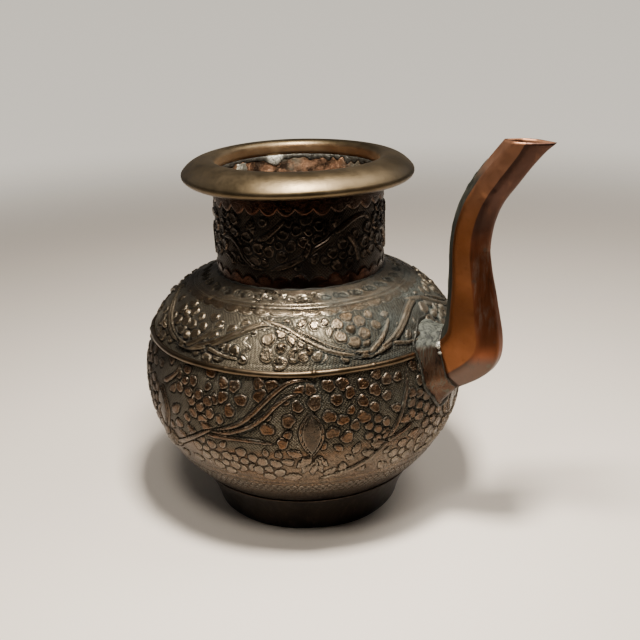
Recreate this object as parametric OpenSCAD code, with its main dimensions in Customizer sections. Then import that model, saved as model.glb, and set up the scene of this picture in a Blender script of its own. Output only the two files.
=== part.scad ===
// Spouted copper water jug, raised and chased from sheet and soldered from separate pieces.
// Millimetres. +Z is up and +X points from the jug's axis towards the spout.
// The origin is the centre of the foot ring's flat bottom face.

/* [Sheet] */
// Thickness of the belly and neck sheet
sheet = 1.4; // [1:0.1:1.8]
// Thickness of the spout and socket sheet
spout_sheet = 1.2; // [0.8:0.1:1.4]

/* [Belly] */
// Largest outer radius of the belly
belly_r = 82.9; // [81:0.1:85]
// Height of the belly's largest radius
belly_z = 74; // [72:0.5:76]
// Radius of the bowl's side curve in profile
bowl_arc = 67; // [65:0.5:69]
// Radius of the shoulder's curve in profile
shoulder_arc = 44.6; // [44:0.2:45.4]
// Height of the girdle, where the bowl meets the shoulder
girdle_z = 98.8; // [97:0.2:100]
// Height of the underside of the bowl's flat bottom
bottom_z = 10.5; // [9:0.5:12]
// Radius of the pour hole behind the spout
pour_hole_r = 8; // [6:0.5:8.5]
// Height of the pour hole's centre
pour_hole_z = 88; // [86:0.5:89]

/* [Neck and rim] */
// Outer radius of the neck
neck_r = 42.7; // [41:0.1:44]
// Height where the shoulder's collar meets the neck
collar_z = 127.7; // [127:0.1:129]
// Outer radius of the sloping collar round the neck's foot
collar_r = 52; // [50:0.5:54]
// Height of the neck's top edge, inside the rim ring
neck_top_z = 178; // [176:0.5:179]
// Height of the rim's crest
rim_z = 185; // [184:0.5:186]
// Outer radius of the rim
rim_r = 58.3; // [57:0.1:60]
// Radius of the rim's throat
throat_r = 41; // [40:0.1:41.2]

/* [Foot] */
// Outer radius of the foot ring on the table
foot_r = 48.5; // [46:0.5:51]
// Outer radius of the foot ring at its top
foot_top_r = 58.2; // [57.8:0.1:59]
// Height of the foot ring
foot_h = 21.5; // [20:0.5:22]
// Thickness of the foot ring
foot_sheet = 1.8; // [1.4:0.1:2.2]

/* [Spout] */
// Height of the spout's level mouth
mouth_z = 200.7; // [199:0.1:204]
// Radius of the spout's outward bend, along its middle
bend_r = 55; // [50:1:60]
// Angle of the spout's outward bend
bend_angle = 38; // [34:1:42]
// Backward lean of the spout's lower leg
leg_lean = 4.2; // [3:0.1:5]

/* [Hidden] */
$fn = 96;
FINE = 360;
ARC_STEPS = 16;
SMALL_ARC_STEPS = 8;

BRONZE = [0.45, 0.33, 0.20];
DARK_COPPER = [0.30, 0.19, 0.13];
RED_COPPER = [0.47, 0.25, 0.12];
BLACK_COPPER = [0.16, 0.12, 0.10];
SOLDER = [0.55, 0.53, 0.48];

// ---- Profiles of the round body, as [radius, height] ----

function arc_points(centre, r, from, to, steps) =
    [for (i = [0:steps])
        let (angle = from + (to - from) * i / steps)
        centre + r * [cos(angle), sin(angle)]];
function backwards(list) = [for (i = [len(list) - 1:-1:0]) list[i]];

bowl_centre = [belly_r - bowl_arc, belly_z];
girdle_angle = asin((girdle_z - belly_z) / bowl_arc);
// The shoulder's arc leaves the bowl's arc with no kink.
shoulder_centre = bowl_centre + (bowl_arc - shoulder_arc) * [cos(girdle_angle), sin(girdle_angle)];
collar_angle = acos((collar_r - shoulder_centre.x) / shoulder_arc);
girdle_r = bowl_centre.x + bowl_arc * cos(girdle_angle);

// The bowl's arc, drawn in by some depth, from its flat bottom up to the girdle
function bowl_side(depth) =
    arc_points(bowl_centre, bowl_arc - depth,
               asin((bottom_z + depth - belly_z) / (bowl_arc - depth)), girdle_angle, ARC_STEPS);
// The shoulder's arc, drawn in by some depth, from the girdle up to the collar
function shoulder_side(depth) =
    arc_points(shoulder_centre, shoulder_arc - depth, girdle_angle, collar_angle, ARC_STEPS);

module belly_section() {
    polygon(concat([[0, bottom_z]], bowl_side(0), shoulder_side(0),
                   [[neck_r, collar_z], [0, collar_z]]));
}

module inside_section() {
    polygon(concat([[0, bottom_z + sheet]], bowl_side(sheet), shoulder_side(sheet),
                   [[0, collar_z - sheet]]));
}

// The whole belly as one solid, to cut what is seated on it
module solid_belly() {
    rotate_extrude($fn = FINE) belly_section();
}

// ---- Foot ----

FOOT_SAG = 1.2;          // how far the foot's flare curves in between its ends
FOOT_SOLDER_H = 7;       // height of the solder in the corner under the bowl
FOOT_SOLDER_W = 6;

foot_flare = [for (i = [0:SMALL_ARC_STEPS])
    let (t = i / SMALL_ARC_STEPS)
    [foot_r + (foot_top_r - foot_r) * t - 4 * FOOT_SAG * t * (1 - t), foot_h * t]];

module foot_section(flare, thickness) {
    polygon(concat(flare, backwards([for (p = flare) p - [thickness, 0]])));
}

module foot_ring() {
    color(BLACK_COPPER)
        rotate_extrude()
            difference() {
                foot_section(foot_flare, foot_sheet);
                belly_section();
            }
}

module foot_solder() {
    // A fillet in the corner between the foot ring's inner face and the bowl
    inner_face = [for (p = foot_flare) if (p.y > foot_h - FOOT_SOLDER_H) p - [foot_sheet, 0]];
    color(SOLDER)
        rotate_extrude()
            difference() {
                foot_section(inner_face, FOOT_SOLDER_W);
                belly_section();
            }
}

// ---- Bowl, girdle and shoulder ----

GIRDLE_WIRE_R = 1.6;
GIRDLE_SOLDER = [0.7, 7];  // depth and height of the solder band inside the joint

module bowl() {
    color(DARK_COPPER)
        difference() {
            rotate_extrude()
                polygon(concat([[0, bottom_z]], bowl_side(0), backwards(bowl_side(sheet)),
                               [[0, bottom_z + sheet]]));
            translate([bowl_centre.x, 0, pour_hole_z])
                rotate([0, 90, 0])
                    cylinder(h = bowl_arc * 1.5, r = pour_hole_r);
        }
}

module girdle_wire() {
    // Round wire laid over the joint between the bowl and the shoulder, stopped by the socket
    color(DARK_COPPER)
        difference() {
            rotate_extrude()
                difference() {
                    translate([girdle_r, girdle_z]) circle(r = GIRDLE_WIRE_R, $fn = 24);
                    belly_section();
                }
            solid_loft(solder_sections);
        }
}

module girdle_solder() {
    color(SOLDER)
        rotate_extrude()
            intersection() {
                inside_section();
                translate(bowl_centre)
                    rotate(girdle_angle)
                        translate([bowl_arc - sheet - GIRDLE_SOLDER.x, -GIRDLE_SOLDER.y / 2])
                            square([sheet + GIRDLE_SOLDER.x, GIRDLE_SOLDER.y]);
            }
}

module shoulder() {
    color(DARK_COPPER)
        rotate_extrude()
            polygon(concat(shoulder_side(0), [[neck_r, collar_z], [neck_r, collar_z - sheet]],
                           backwards(shoulder_side(sheet))));
}

// ---- Neck and rim ----

NECK_TUCK = 3;            // how far the neck reaches down through the collar
SEAM_WIDTH = 5;           // width of the neck's vertical seam solder, in degrees of its circle
SEAM_ANGLE = 172;         // the seam stands away from the spout
SEAM_DEPTH = 0.6;
NECK_FILLET = 1.7;
RIM_SOLDER_H = 2.6;
CREST_R = 3.5;            // radius of the rim's inner edge
NOSE_R = 2.6;             // radius of the rim's outer edge
RIM_DROP = 10.9;          // from the crest down to the rim's underside
CREST_STEP = 5;           // first angle step past the crest, and past the top arc's end on the nose
NOSE_STEP = 15;

neck_inner_r = neck_r - sheet;

module neck() {
    color(DARK_COPPER)
        translate([0, 0, collar_z - NECK_TUCK])
            difference() {
                cylinder(h = neck_top_z - collar_z + NECK_TUCK, r = neck_r);
                translate([0, 0, -1])
                    cylinder(h = neck_top_z - collar_z + NECK_TUCK + 2, r = neck_inner_r);
            }
}

module neck_seam_solder() {
    color(SOLDER)
        rotate([0, 0, SEAM_ANGLE - SEAM_WIDTH / 2])
            translate([0, 0, collar_z - NECK_TUCK])
                rotate_extrude(angle = SEAM_WIDTH)
                    translate([neck_inner_r - SEAM_DEPTH, 0])
                        square([SEAM_DEPTH, neck_top_z - RIM_SOLDER_H - collar_z + NECK_TUCK]);
}

module neck_solder() {
    color(SOLDER)
        rotate_extrude()
            difference() {
                polygon([[neck_r, collar_z - NECK_FILLET], [neck_r + NECK_FILLET, collar_z - NECK_FILLET],
                         [neck_r, collar_z + NECK_FILLET]]);
                belly_section();
            }
}

module rim_ring() {
    underside_z = rim_z - RIM_DROP;
    nose = [rim_r - NOSE_R, underside_z + NOSE_R];
    crest = [throat_r + CREST_R, rim_z - CREST_R];
    // The sloping top is one arc, level at the crest and tangent to the nose.
    run = nose.x - crest.x;
    fall = rim_z - nose.y;
    top_arc = (run * run + fall * fall - NOSE_R * NOSE_R) / (2 * (fall - NOSE_R));
    nose_angle = atan2(top_arc - fall, run);
    color(BRONZE)
        rotate_extrude()
            polygon(concat([[neck_r, underside_z], [neck_r, neck_top_z], [throat_r, neck_top_z]],
                           arc_points(crest, CREST_R, 180, 90, SMALL_ARC_STEPS),
                           arc_points([crest.x, rim_z - top_arc], top_arc, 90 - CREST_STEP, nose_angle,
                                      SMALL_ARC_STEPS),
                           arc_points(nose, NOSE_R, nose_angle - NOSE_STEP, -90, SMALL_ARC_STEPS)));
}

module rim_solder() {
    color(SOLDER)
        translate([0, 0, neck_top_z - RIM_SOLDER_H])
            difference() {
                cylinder(h = RIM_SOLDER_H, r = neck_inner_r);
                translate([0, 0, -1]) cylinder(h = RIM_SOLDER_H + 2, r = throat_r);
            }
}

// ---- Spout and socket, as eight-sided sections across the middle plane ----
// A section is [inner point, outer point, width, flat, inner bevel, outer bevel]. Its points are [x, z],
// the flat is the width of the narrow facets, and a bevel is a share of the inner-to-outer depth.

// Drawing a section in by 1 mm shortens each narrow facet, and moves its corners in from the
// long facets' ends, by these lengths.
FLAT_SHRINK = 0.83;
CORNER_DROP = 0.585;
LEAST_FLAT = 0.5;
LEG_FOOT = [98.5, 117];
LEG_TOP_Z = 148;
BEND_STEPS = 7;
LEG_STEPS = 3;
MOUTH_OVERHANG = 1.6;     // how far the mouth's beak reaches past the spout's outer line
MOUTH_FLAT = 1.2;
MOUTH_INNER_BEVEL = 0.28;
MOUTH_OUTER_BEVEL = 0.42;
BEAK_BEVEL = 0.32;        // outer bevel where the beak starts
BEAK_SHARES = [0.5, 0.7]; // where the beak starts on the way up the inner and outer lines
// Depth, width and flat of the spout at heights of its middle line
DEPTH_AT = [[117, 25.6], [126, 23.6], [138, 21.3], [148, 20], [160, 19.3], [175, 18], [200, 16.2]];
WIDTH_AT = [[117, 17.4], [130, 15], [150, 12.8], [177, 11.6], [200, 10.6]];
FLAT_AT = [[117, 6], [130, 4.2], [150, 2.6], [200, 1.6]];

leg_top = LEG_FOOT + (LEG_TOP_Z - LEG_FOOT.y) * [-tan(leg_lean), 1];
bend_centre = leg_top + [bend_r, 0];

// One section squarely across the spout's middle line, whose direction is an angle from +X
function section_at(middle, direction) =
    let (depth = lookup(middle.y, DEPTH_AT), width = lookup(middle.y, WIDTH_AT),
         flat = lookup(middle.y, FLAT_AT), side = [-sin(direction), cos(direction)],
         bevel = (width - flat) / 2 / depth)
    [middle + side * depth / 2, middle - side * depth / 2, width, flat, bevel, bevel];

// The folded heel: the inner side pivots while the outer side runs round the chin
heel_sections = [
    [[84.2, 109.5], [92.6, 79.7], 19.6, 6.6, 0.22, 0.24],
    [[84.5, 110.6], [103.6, 86.7], 19.4, 6.6, 0.21, 0.26],
    [[84.9, 111.9], [110.8, 94.5], 19, 6.5, 0.21, 0.25],
    [[85.2, 113.3], [113.5, 103.2], 18.4, 6.4, 0.21, 0.23]
];
leg_sections = [for (i = [0:LEG_STEPS])
    section_at(LEG_FOOT + (leg_top - LEG_FOOT) * i / LEG_STEPS, 90 + leg_lean)];
bend_sections = [for (i = [1:BEND_STEPS])
    let (turn = bend_angle * i / BEND_STEPS)
    section_at(bend_centre + bend_r * [-cos(turn), sin(turn)], 90 - turn)];

// The mouth is level: both lines of the last section run on to its height.
last = bend_sections[BEND_STEPS - 1];
run_up = [cos(90 - bend_angle), sin(90 - bend_angle)];
mouth_inner = last[0] + run_up * (mouth_z - last[0].y) / run_up.y;
mouth_outer = last[1] + run_up * (mouth_z - last[1].y) / run_up.y;
mouth_width = lookup(mouth_z, WIDTH_AT);
beak_section = [last[0] + (mouth_inner - last[0]) * BEAK_SHARES.x,
                last[1] + (mouth_outer - last[1]) * BEAK_SHARES.y,
                mouth_width, lookup(mouth_z, FLAT_AT), MOUTH_INNER_BEVEL, BEAK_BEVEL];
mouth_section = [mouth_inner, mouth_outer + [MOUTH_OVERHANG, 0],
                 mouth_width, MOUTH_FLAT, MOUTH_INNER_BEVEL, MOUTH_OUTER_BEVEL];
spout_sections = concat(heel_sections, leg_sections, bend_sections, [beak_section, mouth_section]);

// The socket runs from a section inside the belly's wall out to the spout's open end. The solder
// round its root fades out at the wash section, and the spout's own solder starts at the lap section.
SOCKET_SHEET = 1.6;
SOCKET_STEP = 0.5;        // the spout's edge stands proud of the socket
SOCKET_ROOT = [[60, 111.3], [75.4, 60], 42, 8, 0.18, 0.34];
WASH_SHARE = 0.62;
LAP_SHARE = 0.9;
SOLDER_SPREAD = 4.4;      // thickness of the solder at the root section
SOLDER_EDGE = 0.1;        // thickness of any solder where it fades out
SPOUT_SOLDER = 0.45;

socket_end = thinned(heel_sections[0], SOCKET_STEP);
socket_wash = SOCKET_ROOT + (socket_end - SOCKET_ROOT) * WASH_SHARE;
socket_lap = SOCKET_ROOT + (socket_end - SOCKET_ROOT) * LAP_SHARE;
socket_sections = [SOCKET_ROOT, socket_wash, socket_lap, socket_end];
solder_sections = [thinned(SOCKET_ROOT, -SOLDER_SPREAD), thinned(socket_wash, -SOLDER_EDGE)];

// A section with its outline drawn in by some depth all round
function thinned(s, depth) =
    let (across = s[1] - s[0], along = across / norm(across),
         flat = max(s[3] - FLAT_SHRINK * depth, LEAST_FLAT), width = s[2] - 2 * depth,
         span = norm(across) - 2 * depth, drop = CORNER_DROP * depth)
    [s[0] + along * depth, s[1] - along * depth, width, flat,
     (s[4] * norm(across) - drop) / span, (s[5] * norm(across) - drop) / span];

// The eight corners of a section, in order round it
function corners(s) =
    let (a = s[0] + (s[1] - s[0]) * s[4], b = s[1] - (s[1] - s[0]) * s[5], w = s[2] / 2, f = s[3] / 2)
    [[s[0].x, f, s[0].y], [s[0].x, -f, s[0].y], [a.x, -w, a.y], [b.x, -w, b.y],
     [s[1].x, -f, s[1].y], [s[1].x, f, s[1].y], [b.x, w, b.y], [a.x, w, a.y]];

SIDES = 8;

// Two triangles between corners j and j + 1 of neighbouring rings, seen from outside
function wall(near, far, j, n) =
    let (k = (j + 1) % n)
    [[near + j, far + j, far + k], [near + j, far + k, near + k]];

module solid_loft(sections) {
    count = len(sections);
    points = [for (s = sections) each corners(s)];
    sides = [for (i = [0:count - 2], j = [0:SIDES - 1]) each wall(i * SIDES, (i + 1) * SIDES, j, SIDES)];
    start = [for (j = [1:SIDES - 2]) [0, j, j + 1]];
    last_ring = (count - 1) * SIDES;
    finish = [for (j = [1:SIDES - 2]) last_ring * [1, 1, 1] + [0, j + 1, j]];
    polyhedron(points, concat(sides, start, finish));
}

// A tube between an outer and an inner skin of as many sections
module tube_loft(skin, lining) {
    count = len(skin);
    inside = count * SIDES;
    points = concat([for (s = skin) each corners(s)], [for (s = lining) each corners(s)]);
    outer = [for (i = [0:count - 2], j = [0:SIDES - 1]) each wall(i * SIDES, (i + 1) * SIDES, j, SIDES)];
    inner = [for (t = outer) [t.x, t.z, t.y] + inside * [1, 1, 1]];
    start = [for (j = [0:SIDES - 1]) each wall(inside, 0, j, SIDES)];
    last_ring = (count - 1) * SIDES;
    finish = [for (j = [0:SIDES - 1]) each wall(last_ring, inside + last_ring, j, SIDES)];
    polyhedron(points, concat(outer, inner, start, finish));
}

module spout_socket() {
    color(DARK_COPPER)
        difference() {
            tube_loft(socket_sections, [for (s = socket_sections) thinned(s, SOCKET_SHEET)]);
            solid_belly();
        }
}

module socket_solder() {
    color(SOLDER)
        difference() {
            tube_loft(solder_sections, [SOCKET_ROOT, socket_wash]);
            solid_belly();
        }
}

module spout_solder() {
    // A thin step of solder on the socket, under the spout's edge
    color(SOLDER)
        tube_loft([thinned(socket_lap, -SOLDER_EDGE), thinned(socket_end, -SPOUT_SOLDER)],
                  [socket_lap, socket_end]);
}

module spout() {
    color(RED_COPPER) tube_loft(spout_sections, [for (s = spout_sections) thinned(s, spout_sheet)]);
}

SEAM_HALF = 0.42;         // share of the inner facet's width, each side of its middle
SEAM_PROUD = 0.6;
SEAM_CROWN = 0.6;         // width of the bead's top as a share of its base
SEAM_SIDES = 4;

module spout_seam_solder() {
    // A low bead down the middle of the facet that faces the neck
    runs = [for (i = [len(heel_sections) - 1:len(spout_sections) - 2]) spout_sections[i]];
    count = len(runs);
    points = [for (s = runs)
        let (out = (s[0] - s[1]) / norm(s[0] - s[1]), top = s[0] + out * SEAM_PROUD,
             half = s[3] * SEAM_HALF, crown = half * SEAM_CROWN)
        each [[s[0].x, half, s[0].y], [s[0].x, -half, s[0].y],
              [top.x, -crown, top.y], [top.x, crown, top.y]]];
    sides = [for (i = [0:count - 2], j = [0:SEAM_SIDES - 1])
        each wall((i + 1) * SEAM_SIDES, i * SEAM_SIDES, j, SEAM_SIDES)];
    last_ring = (count - 1) * SEAM_SIDES;
    start = [[0, 2, 1], [0, 3, 2]];
    finish = [for (t = start) last_ring * [1, 1, 1] + [t.x, t.z, t.y]];
    color(SOLDER) polyhedron(points, concat(sides, start, finish));
}

foot_ring();
foot_solder();
bowl();
girdle_wire();
girdle_solder();
shoulder();
neck();
neck_seam_solder();
neck_solder();
rim_ring();
rim_solder();
spout_socket();
socket_solder();
spout();
spout_seam_solder();
spout_solder();
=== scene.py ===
import math

import bmesh
import bpy
import numpy as np
from mathutils import Matrix, Vector

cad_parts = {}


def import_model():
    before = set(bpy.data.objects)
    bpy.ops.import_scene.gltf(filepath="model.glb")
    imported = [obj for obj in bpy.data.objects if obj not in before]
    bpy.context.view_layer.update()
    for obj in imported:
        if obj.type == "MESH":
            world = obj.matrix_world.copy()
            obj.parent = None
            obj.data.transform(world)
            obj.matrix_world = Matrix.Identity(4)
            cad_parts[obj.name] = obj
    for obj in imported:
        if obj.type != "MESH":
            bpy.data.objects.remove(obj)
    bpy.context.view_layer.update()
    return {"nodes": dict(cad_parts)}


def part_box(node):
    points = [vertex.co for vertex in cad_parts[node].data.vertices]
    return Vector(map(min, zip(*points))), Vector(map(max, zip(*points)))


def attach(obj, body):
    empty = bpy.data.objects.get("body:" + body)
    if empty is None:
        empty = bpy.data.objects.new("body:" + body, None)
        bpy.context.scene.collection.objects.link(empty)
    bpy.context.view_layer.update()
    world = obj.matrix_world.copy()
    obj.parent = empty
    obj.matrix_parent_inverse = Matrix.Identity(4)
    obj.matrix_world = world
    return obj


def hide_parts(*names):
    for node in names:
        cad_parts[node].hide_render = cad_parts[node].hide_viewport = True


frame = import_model()

MM = 0.001
TAU = 2 * math.pi
scene = bpy.context.scene
root_body = "root"


def mm(corner):
    return [c / MM for c in corner]


# ---- Dimensions, in mm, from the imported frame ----
bowl_low, bowl_high = (mm(c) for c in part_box("bowl"))
shoulder_low, shoulder_high = (mm(c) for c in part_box("shoulder"))
neck_low, neck_high = (mm(c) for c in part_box("neck"))
rim_low, rim_high = (mm(c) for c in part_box("rim_ring"))
foot_low, foot_high = (mm(c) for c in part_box("foot_ring"))
spout_low, spout_high = (mm(c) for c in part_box("spout"))

BELLY_R = bowl_high[1]
BOWL_ARC = 67.0
SHOULDER_ARC = 44.6
BELLY_Z = 74.0
GIRDLE_Z = bowl_high[2]
BOTTOM_Z = bowl_low[2]
COLLAR_Z = shoulder_high[2]
COLLAR_R = 52.0
NECK_R = neck_high[0]
NECK_TOP_Z = neck_high[2]
RIM_Z = rim_high[2]
RIM_R = rim_high[0]
THROAT_R = 41.0
FOOT_R = 48.5
FOOT_TOP_R = 58.2
FOOT_H = 21.5
SHEET = 1.4
POUR_HOLE_R = 8.0
POUR_HOLE_Z = 88.0

# The chased pattern is laid out by an angle that runs clockwise seen from above, from this turn off +X.
PATTERN_TURN = math.radians(36)


# ---- Camera, floor, world and lights ----
def camera():
    turn = math.radians(36)
    data = bpy.data.cameras.new("camera")
    data.lens = 56.25
    data.sensor_width = 36
    data.clip_start = 0.01
    obj = bpy.data.objects.new("camera", data)
    scene.collection.objects.link(obj)
    place = Matrix.Translation((0.49743 * math.sin(turn), -0.49743 * math.cos(turn), 0.27621))
    pan = Matrix.Rotation(turn - math.radians(1.038), 4, "Z")
    tilt = Matrix.Rotation(math.radians(90 - 19.848), 4, "X")
    roll = Matrix.Rotation(math.radians(-1.69), 4, "Z")
    obj.matrix_world = place @ pan @ tilt @ roll
    scene.camera = obj
    return turn


CAMERA_TURN = camera()


def area_light(name, azimuth, elevation, distance, size, power, colour):
    """A square soft light aimed at the belly. Azimuth is in degrees from the camera's side, to its right."""
    data = bpy.data.lights.new(name, "AREA")
    data.shape = "SQUARE"
    data.size = size
    data.energy = power
    data.color = colour
    obj = bpy.data.objects.new(name, data)
    scene.collection.objects.link(obj)
    a = CAMERA_TURN - math.pi / 2 + math.radians(azimuth)
    e = math.radians(elevation)
    way = Vector((math.cos(a) * math.cos(e), math.sin(a) * math.cos(e), math.sin(e)))
    target = Vector((0, 0, 0.09))
    obj.location = target + way * distance
    obj.rotation_euler = (-way).to_track_quat("-Z", "Y").to_euler()
    return obj


area_light("key", 4, 69, 0.40, 0.075, 5.1, (1.0, 0.94, 0.86))
area_light("front", -12, 57, 0.95, 0.20, 3.2, (1.0, 0.95, 0.88))
area_light("side", 92, 58, 0.81, 0.37, 2.9, (1.0, 0.95, 0.89))
area_light("back_left", -125, 32, 1.3, 0.6, 0.4, (1.0, 0.97, 0.94))
area_light("back_right", 125, 32, 1.3, 0.6, 0.8, (1.0, 0.97, 0.94))


# ---- Node helpers ----
class Graph:
    """Short calls for building a node tree. Values may be numbers, colours or sockets."""

    def __init__(self, tree):
        self.tree = tree

    def node(self, kind, **settings):
        n = self.tree.nodes.new(kind)
        for key, value in settings.items():
            setattr(n, key, value)
        return n

    def put(self, socket, value):
        if value is None:
            return
        if isinstance(value, bpy.types.NodeSocket):
            self.tree.links.new(value, socket)
        elif isinstance(value, (tuple, list)) and len(value) == 3 and len(socket.default_value) == 4:
            socket.default_value = (*value, 1)
        else:
            socket.default_value = value

    def math(self, op, a, b=None, clamp=False):
        n = self.node("ShaderNodeMath", operation=op, use_clamp=clamp)
        self.put(n.inputs[0], a)
        self.put(n.inputs[1], b)
        return n.outputs[0]

    def add(self, a, b):
        return self.math("ADD", a, b)

    def mul(self, a, b, clamp=False):
        return self.math("MULTIPLY", a, b, clamp)

    def ramp(self, value, low, high, to_low=0.0, to_high=1.0, smooth=True):
        n = self.node("ShaderNodeMapRange", interpolation_type="SMOOTHSTEP" if smooth else "LINEAR")
        for i, v in enumerate((value, low, high, to_low, to_high)):
            self.put(n.inputs[i], v)
        return n.outputs[0]

    def mix(self, factor, a, b):
        n = self.node("ShaderNodeMix", data_type="RGBA")
        self.put(n.inputs[0], factor)
        self.put(n.inputs[6], a)
        self.put(n.inputs[7], b)
        return n.outputs[2]

    def blend(self, factor, a, b):
        n = self.node("ShaderNodeMix", data_type="FLOAT")
        self.put(n.inputs[0], factor)
        self.put(n.inputs[2], a)
        self.put(n.inputs[3], b)
        return n.outputs[0]

    def attribute(self, name, vector=False):
        n = self.node("ShaderNodeAttribute", attribute_name=name)
        return n.outputs["Vector" if vector else "Fac"]

    def split(self, vector):
        n = self.node("ShaderNodeSeparateXYZ")
        self.put(n.inputs[0], vector)
        return n.outputs

    def join(self, x, y, z):
        n = self.node("ShaderNodeCombineXYZ")
        for i, v in enumerate((x, y, z)):
            self.put(n.inputs[i], v)
        return n.outputs[0]

    def place(self):
        return self.node("ShaderNodeTexCoord").outputs["Object"]

    def noise(self, at, scale, detail=3.0, rough=0.55, distortion=0.0):
        n = self.node("ShaderNodeTexNoise")
        self.put(n.inputs["Vector"], at)
        n.inputs["Scale"].default_value = scale
        n.inputs["Detail"].default_value = detail
        n.inputs["Roughness"].default_value = rough
        n.inputs["Distortion"].default_value = distortion
        return n.outputs[0]

    def cells(self, at, scale, feature="F1", rand=1.0):
        n = self.node("ShaderNodeTexVoronoi", feature=feature)
        self.put(n.inputs["Vector"], at)
        n.inputs["Scale"].default_value = scale
        n.inputs["Randomness"].default_value = rand
        return n.outputs["Distance"]

    def stretch(self, vector, by):
        n = self.node("ShaderNodeVectorMath", operation="MULTIPLY")
        self.put(n.inputs[0], vector)
        n.inputs[1].default_value = by
        return n.outputs[0]

    def bump(self, height_mm, strength=1.0, normal=None):
        n = self.node("ShaderNodeBump")
        n.inputs["Strength"].default_value = strength
        n.inputs["Distance"].default_value = MM
        self.put(n.inputs["Height"], height_mm)
        self.put(n.inputs["Normal"], normal)
        return n.outputs[0]


def material(name):
    """A new node material, its graph and its one Principled shader."""
    m = bpy.data.materials.new(name)
    m.use_nodes = True
    shader = next(n for n in m.node_tree.nodes if n.type == "BSDF_PRINCIPLED")
    return m, Graph(m.node_tree), shader


def finish_shader(g, shader, colour, rough, metal, normal):
    g.put(shader.inputs["Base Color"], colour)
    g.put(shader.inputs["Roughness"], rough)
    g.put(shader.inputs["Metallic"], metal)
    g.put(shader.inputs["Normal"], normal)


# ---- World and floor ----
def world():
    w = bpy.data.worlds.new("studio")
    scene.world = w
    w.use_nodes = True
    g = Graph(w.node_tree)
    back = next(n for n in w.node_tree.nodes if n.type == "BACKGROUND")
    out = next(n for n in w.node_tree.nodes if n.type == "OUTPUT_WORLD")
    way = g.node("ShaderNodeTexCoord").outputs["Generated"]
    x, y, z = g.split(way)
    front = g.add(g.mul(x, math.sin(CAMERA_TURN)), g.mul(y, -math.cos(CAMERA_TURN)))
    # The room: pale walls at the back and sides, a dim room in front, a soft ceiling above
    walls = g.ramp(front, -0.9, 0.2, 0.12, 0.010)
    room = g.blend(g.ramp(z, 0.30, 0.85), walls, 0.07)
    g.put(back.inputs["Color"], g.mix(room, (0.0, 0.0, 0.0), (1.0, 0.96, 0.91)))
    back.inputs["Strength"].default_value = 1.0
    backdrop = g.node("ShaderNodeBackground")
    g.put(backdrop.inputs["Color"], g.mix(g.ramp(z, -0.35, 0.25), (0.98, 0.90, 0.78), (0.76, 0.70, 0.60)))
    backdrop.inputs["Strength"].default_value = 1.0
    seen = g.node("ShaderNodeLightPath").outputs["Is Camera Ray"]
    pick = g.node("ShaderNodeMixShader")
    g.put(pick.inputs[0], seen)
    g.put(pick.inputs[1], back.outputs[0])
    g.put(pick.inputs[2], backdrop.outputs[0])
    g.put(out.inputs["Surface"], pick.outputs[0])


world()


def mesh_object(name, verts_mm, faces, smooth=True):
    mesh = bpy.data.meshes.new(name)
    mesh.from_pydata((np.asarray(verts_mm, float) * MM).tolist(), [], faces)
    mesh.validate()
    mesh.update()
    if smooth:
        mesh.polygons.foreach_set("use_smooth", [True] * len(mesh.polygons))
    obj = bpy.data.objects.new(name, mesh)
    scene.collection.objects.link(obj)
    return obj


def floor():
    half = 1600
    obj = mesh_object("floor", [(-half, -half, 0), (half, -half, 0), (half, half, 0), (-half, half, 0)], [(0, 1, 2, 3)])
    m, g, shader = material("floor_paper")
    tone = g.noise(g.place(), 3.0)
    colour = g.mix(tone, (0.86, 0.77, 0.665), (0.90, 0.815, 0.715))
    finish_shader(g, shader, colour, 0.7, 0.0, g.bump(g.noise(g.place(), 900.0), 0.05))
    # The paper's far edge fades out into the backdrop
    x, y, _ = g.split(g.place())
    away = g.math("SQRT", g.add(g.mul(x, x), g.mul(y, y)))
    ahead = g.add(g.mul(x, math.sin(CAMERA_TURN)), g.mul(y, -math.cos(CAMERA_TURN)))
    g.put(shader.inputs["Alpha"], g.mul(g.ramp(away, 1.15, 0.55), g.ramp(ahead, 0.29, 0.21)))
    obj.data.materials.append(m)


floor()


# ---- Profiles of the round body, as [radius, height] with outward normals ----
BOWL_CENTRE = np.array([BELLY_R - BOWL_ARC, BELLY_Z])
GIRDLE_ANGLE = math.asin((GIRDLE_Z - BELLY_Z) / BOWL_ARC)
SHOULDER_CENTRE = BOWL_CENTRE + (BOWL_ARC - SHOULDER_ARC) * np.array([math.cos(GIRDLE_ANGLE), math.sin(GIRDLE_ANGLE)])
COLLAR_ANGLE = math.acos((COLLAR_R - SHOULDER_CENTRE[0]) / SHOULDER_ARC)


def arc(centre, radius, angles):
    way = np.stack([np.cos(angles), np.sin(angles)], 1)
    return np.asarray(centre) + radius * way, way


def bowl_angle(z):
    return math.asin((z - BELLY_Z) / BOWL_ARC)


def shoulder_angle(z):
    return math.asin((z - SHOULDER_CENTRE[1]) / SHOULDER_ARC)


def smoothstep(x, low, high):
    t = np.clip((x - low) / (high - low), 0, 1)
    return t * t * (3 - 2 * t)


def waves(seed, count, u, v, longest, shortest):
    """Smooth seeded unevenness between about -1 and 1 over angle u (radians, closing on itself) and length v in mm."""
    rng = np.random.default_rng(seed)
    total = np.zeros(np.broadcast(u, v).shape)
    for _ in range(count):
        across = rng.integers(1, max(2, int(TAU * BELLY_R / shortest)))
        along = rng.uniform(-TAU / shortest, TAU / shortest)
        if across * longest < TAU * 40 and abs(along) * longest < TAU:
            across += 2
        total += np.sin(across * u + along * v + rng.uniform(0, TAU))
    return total / math.sqrt(count)


# ---- Chased relief, painted on a grid of angle by profile length ----
GROUND, STEM, PETAL, BAND, INSIDE = 0.0, 0.35, 0.7, 1.0, 2.0


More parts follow.
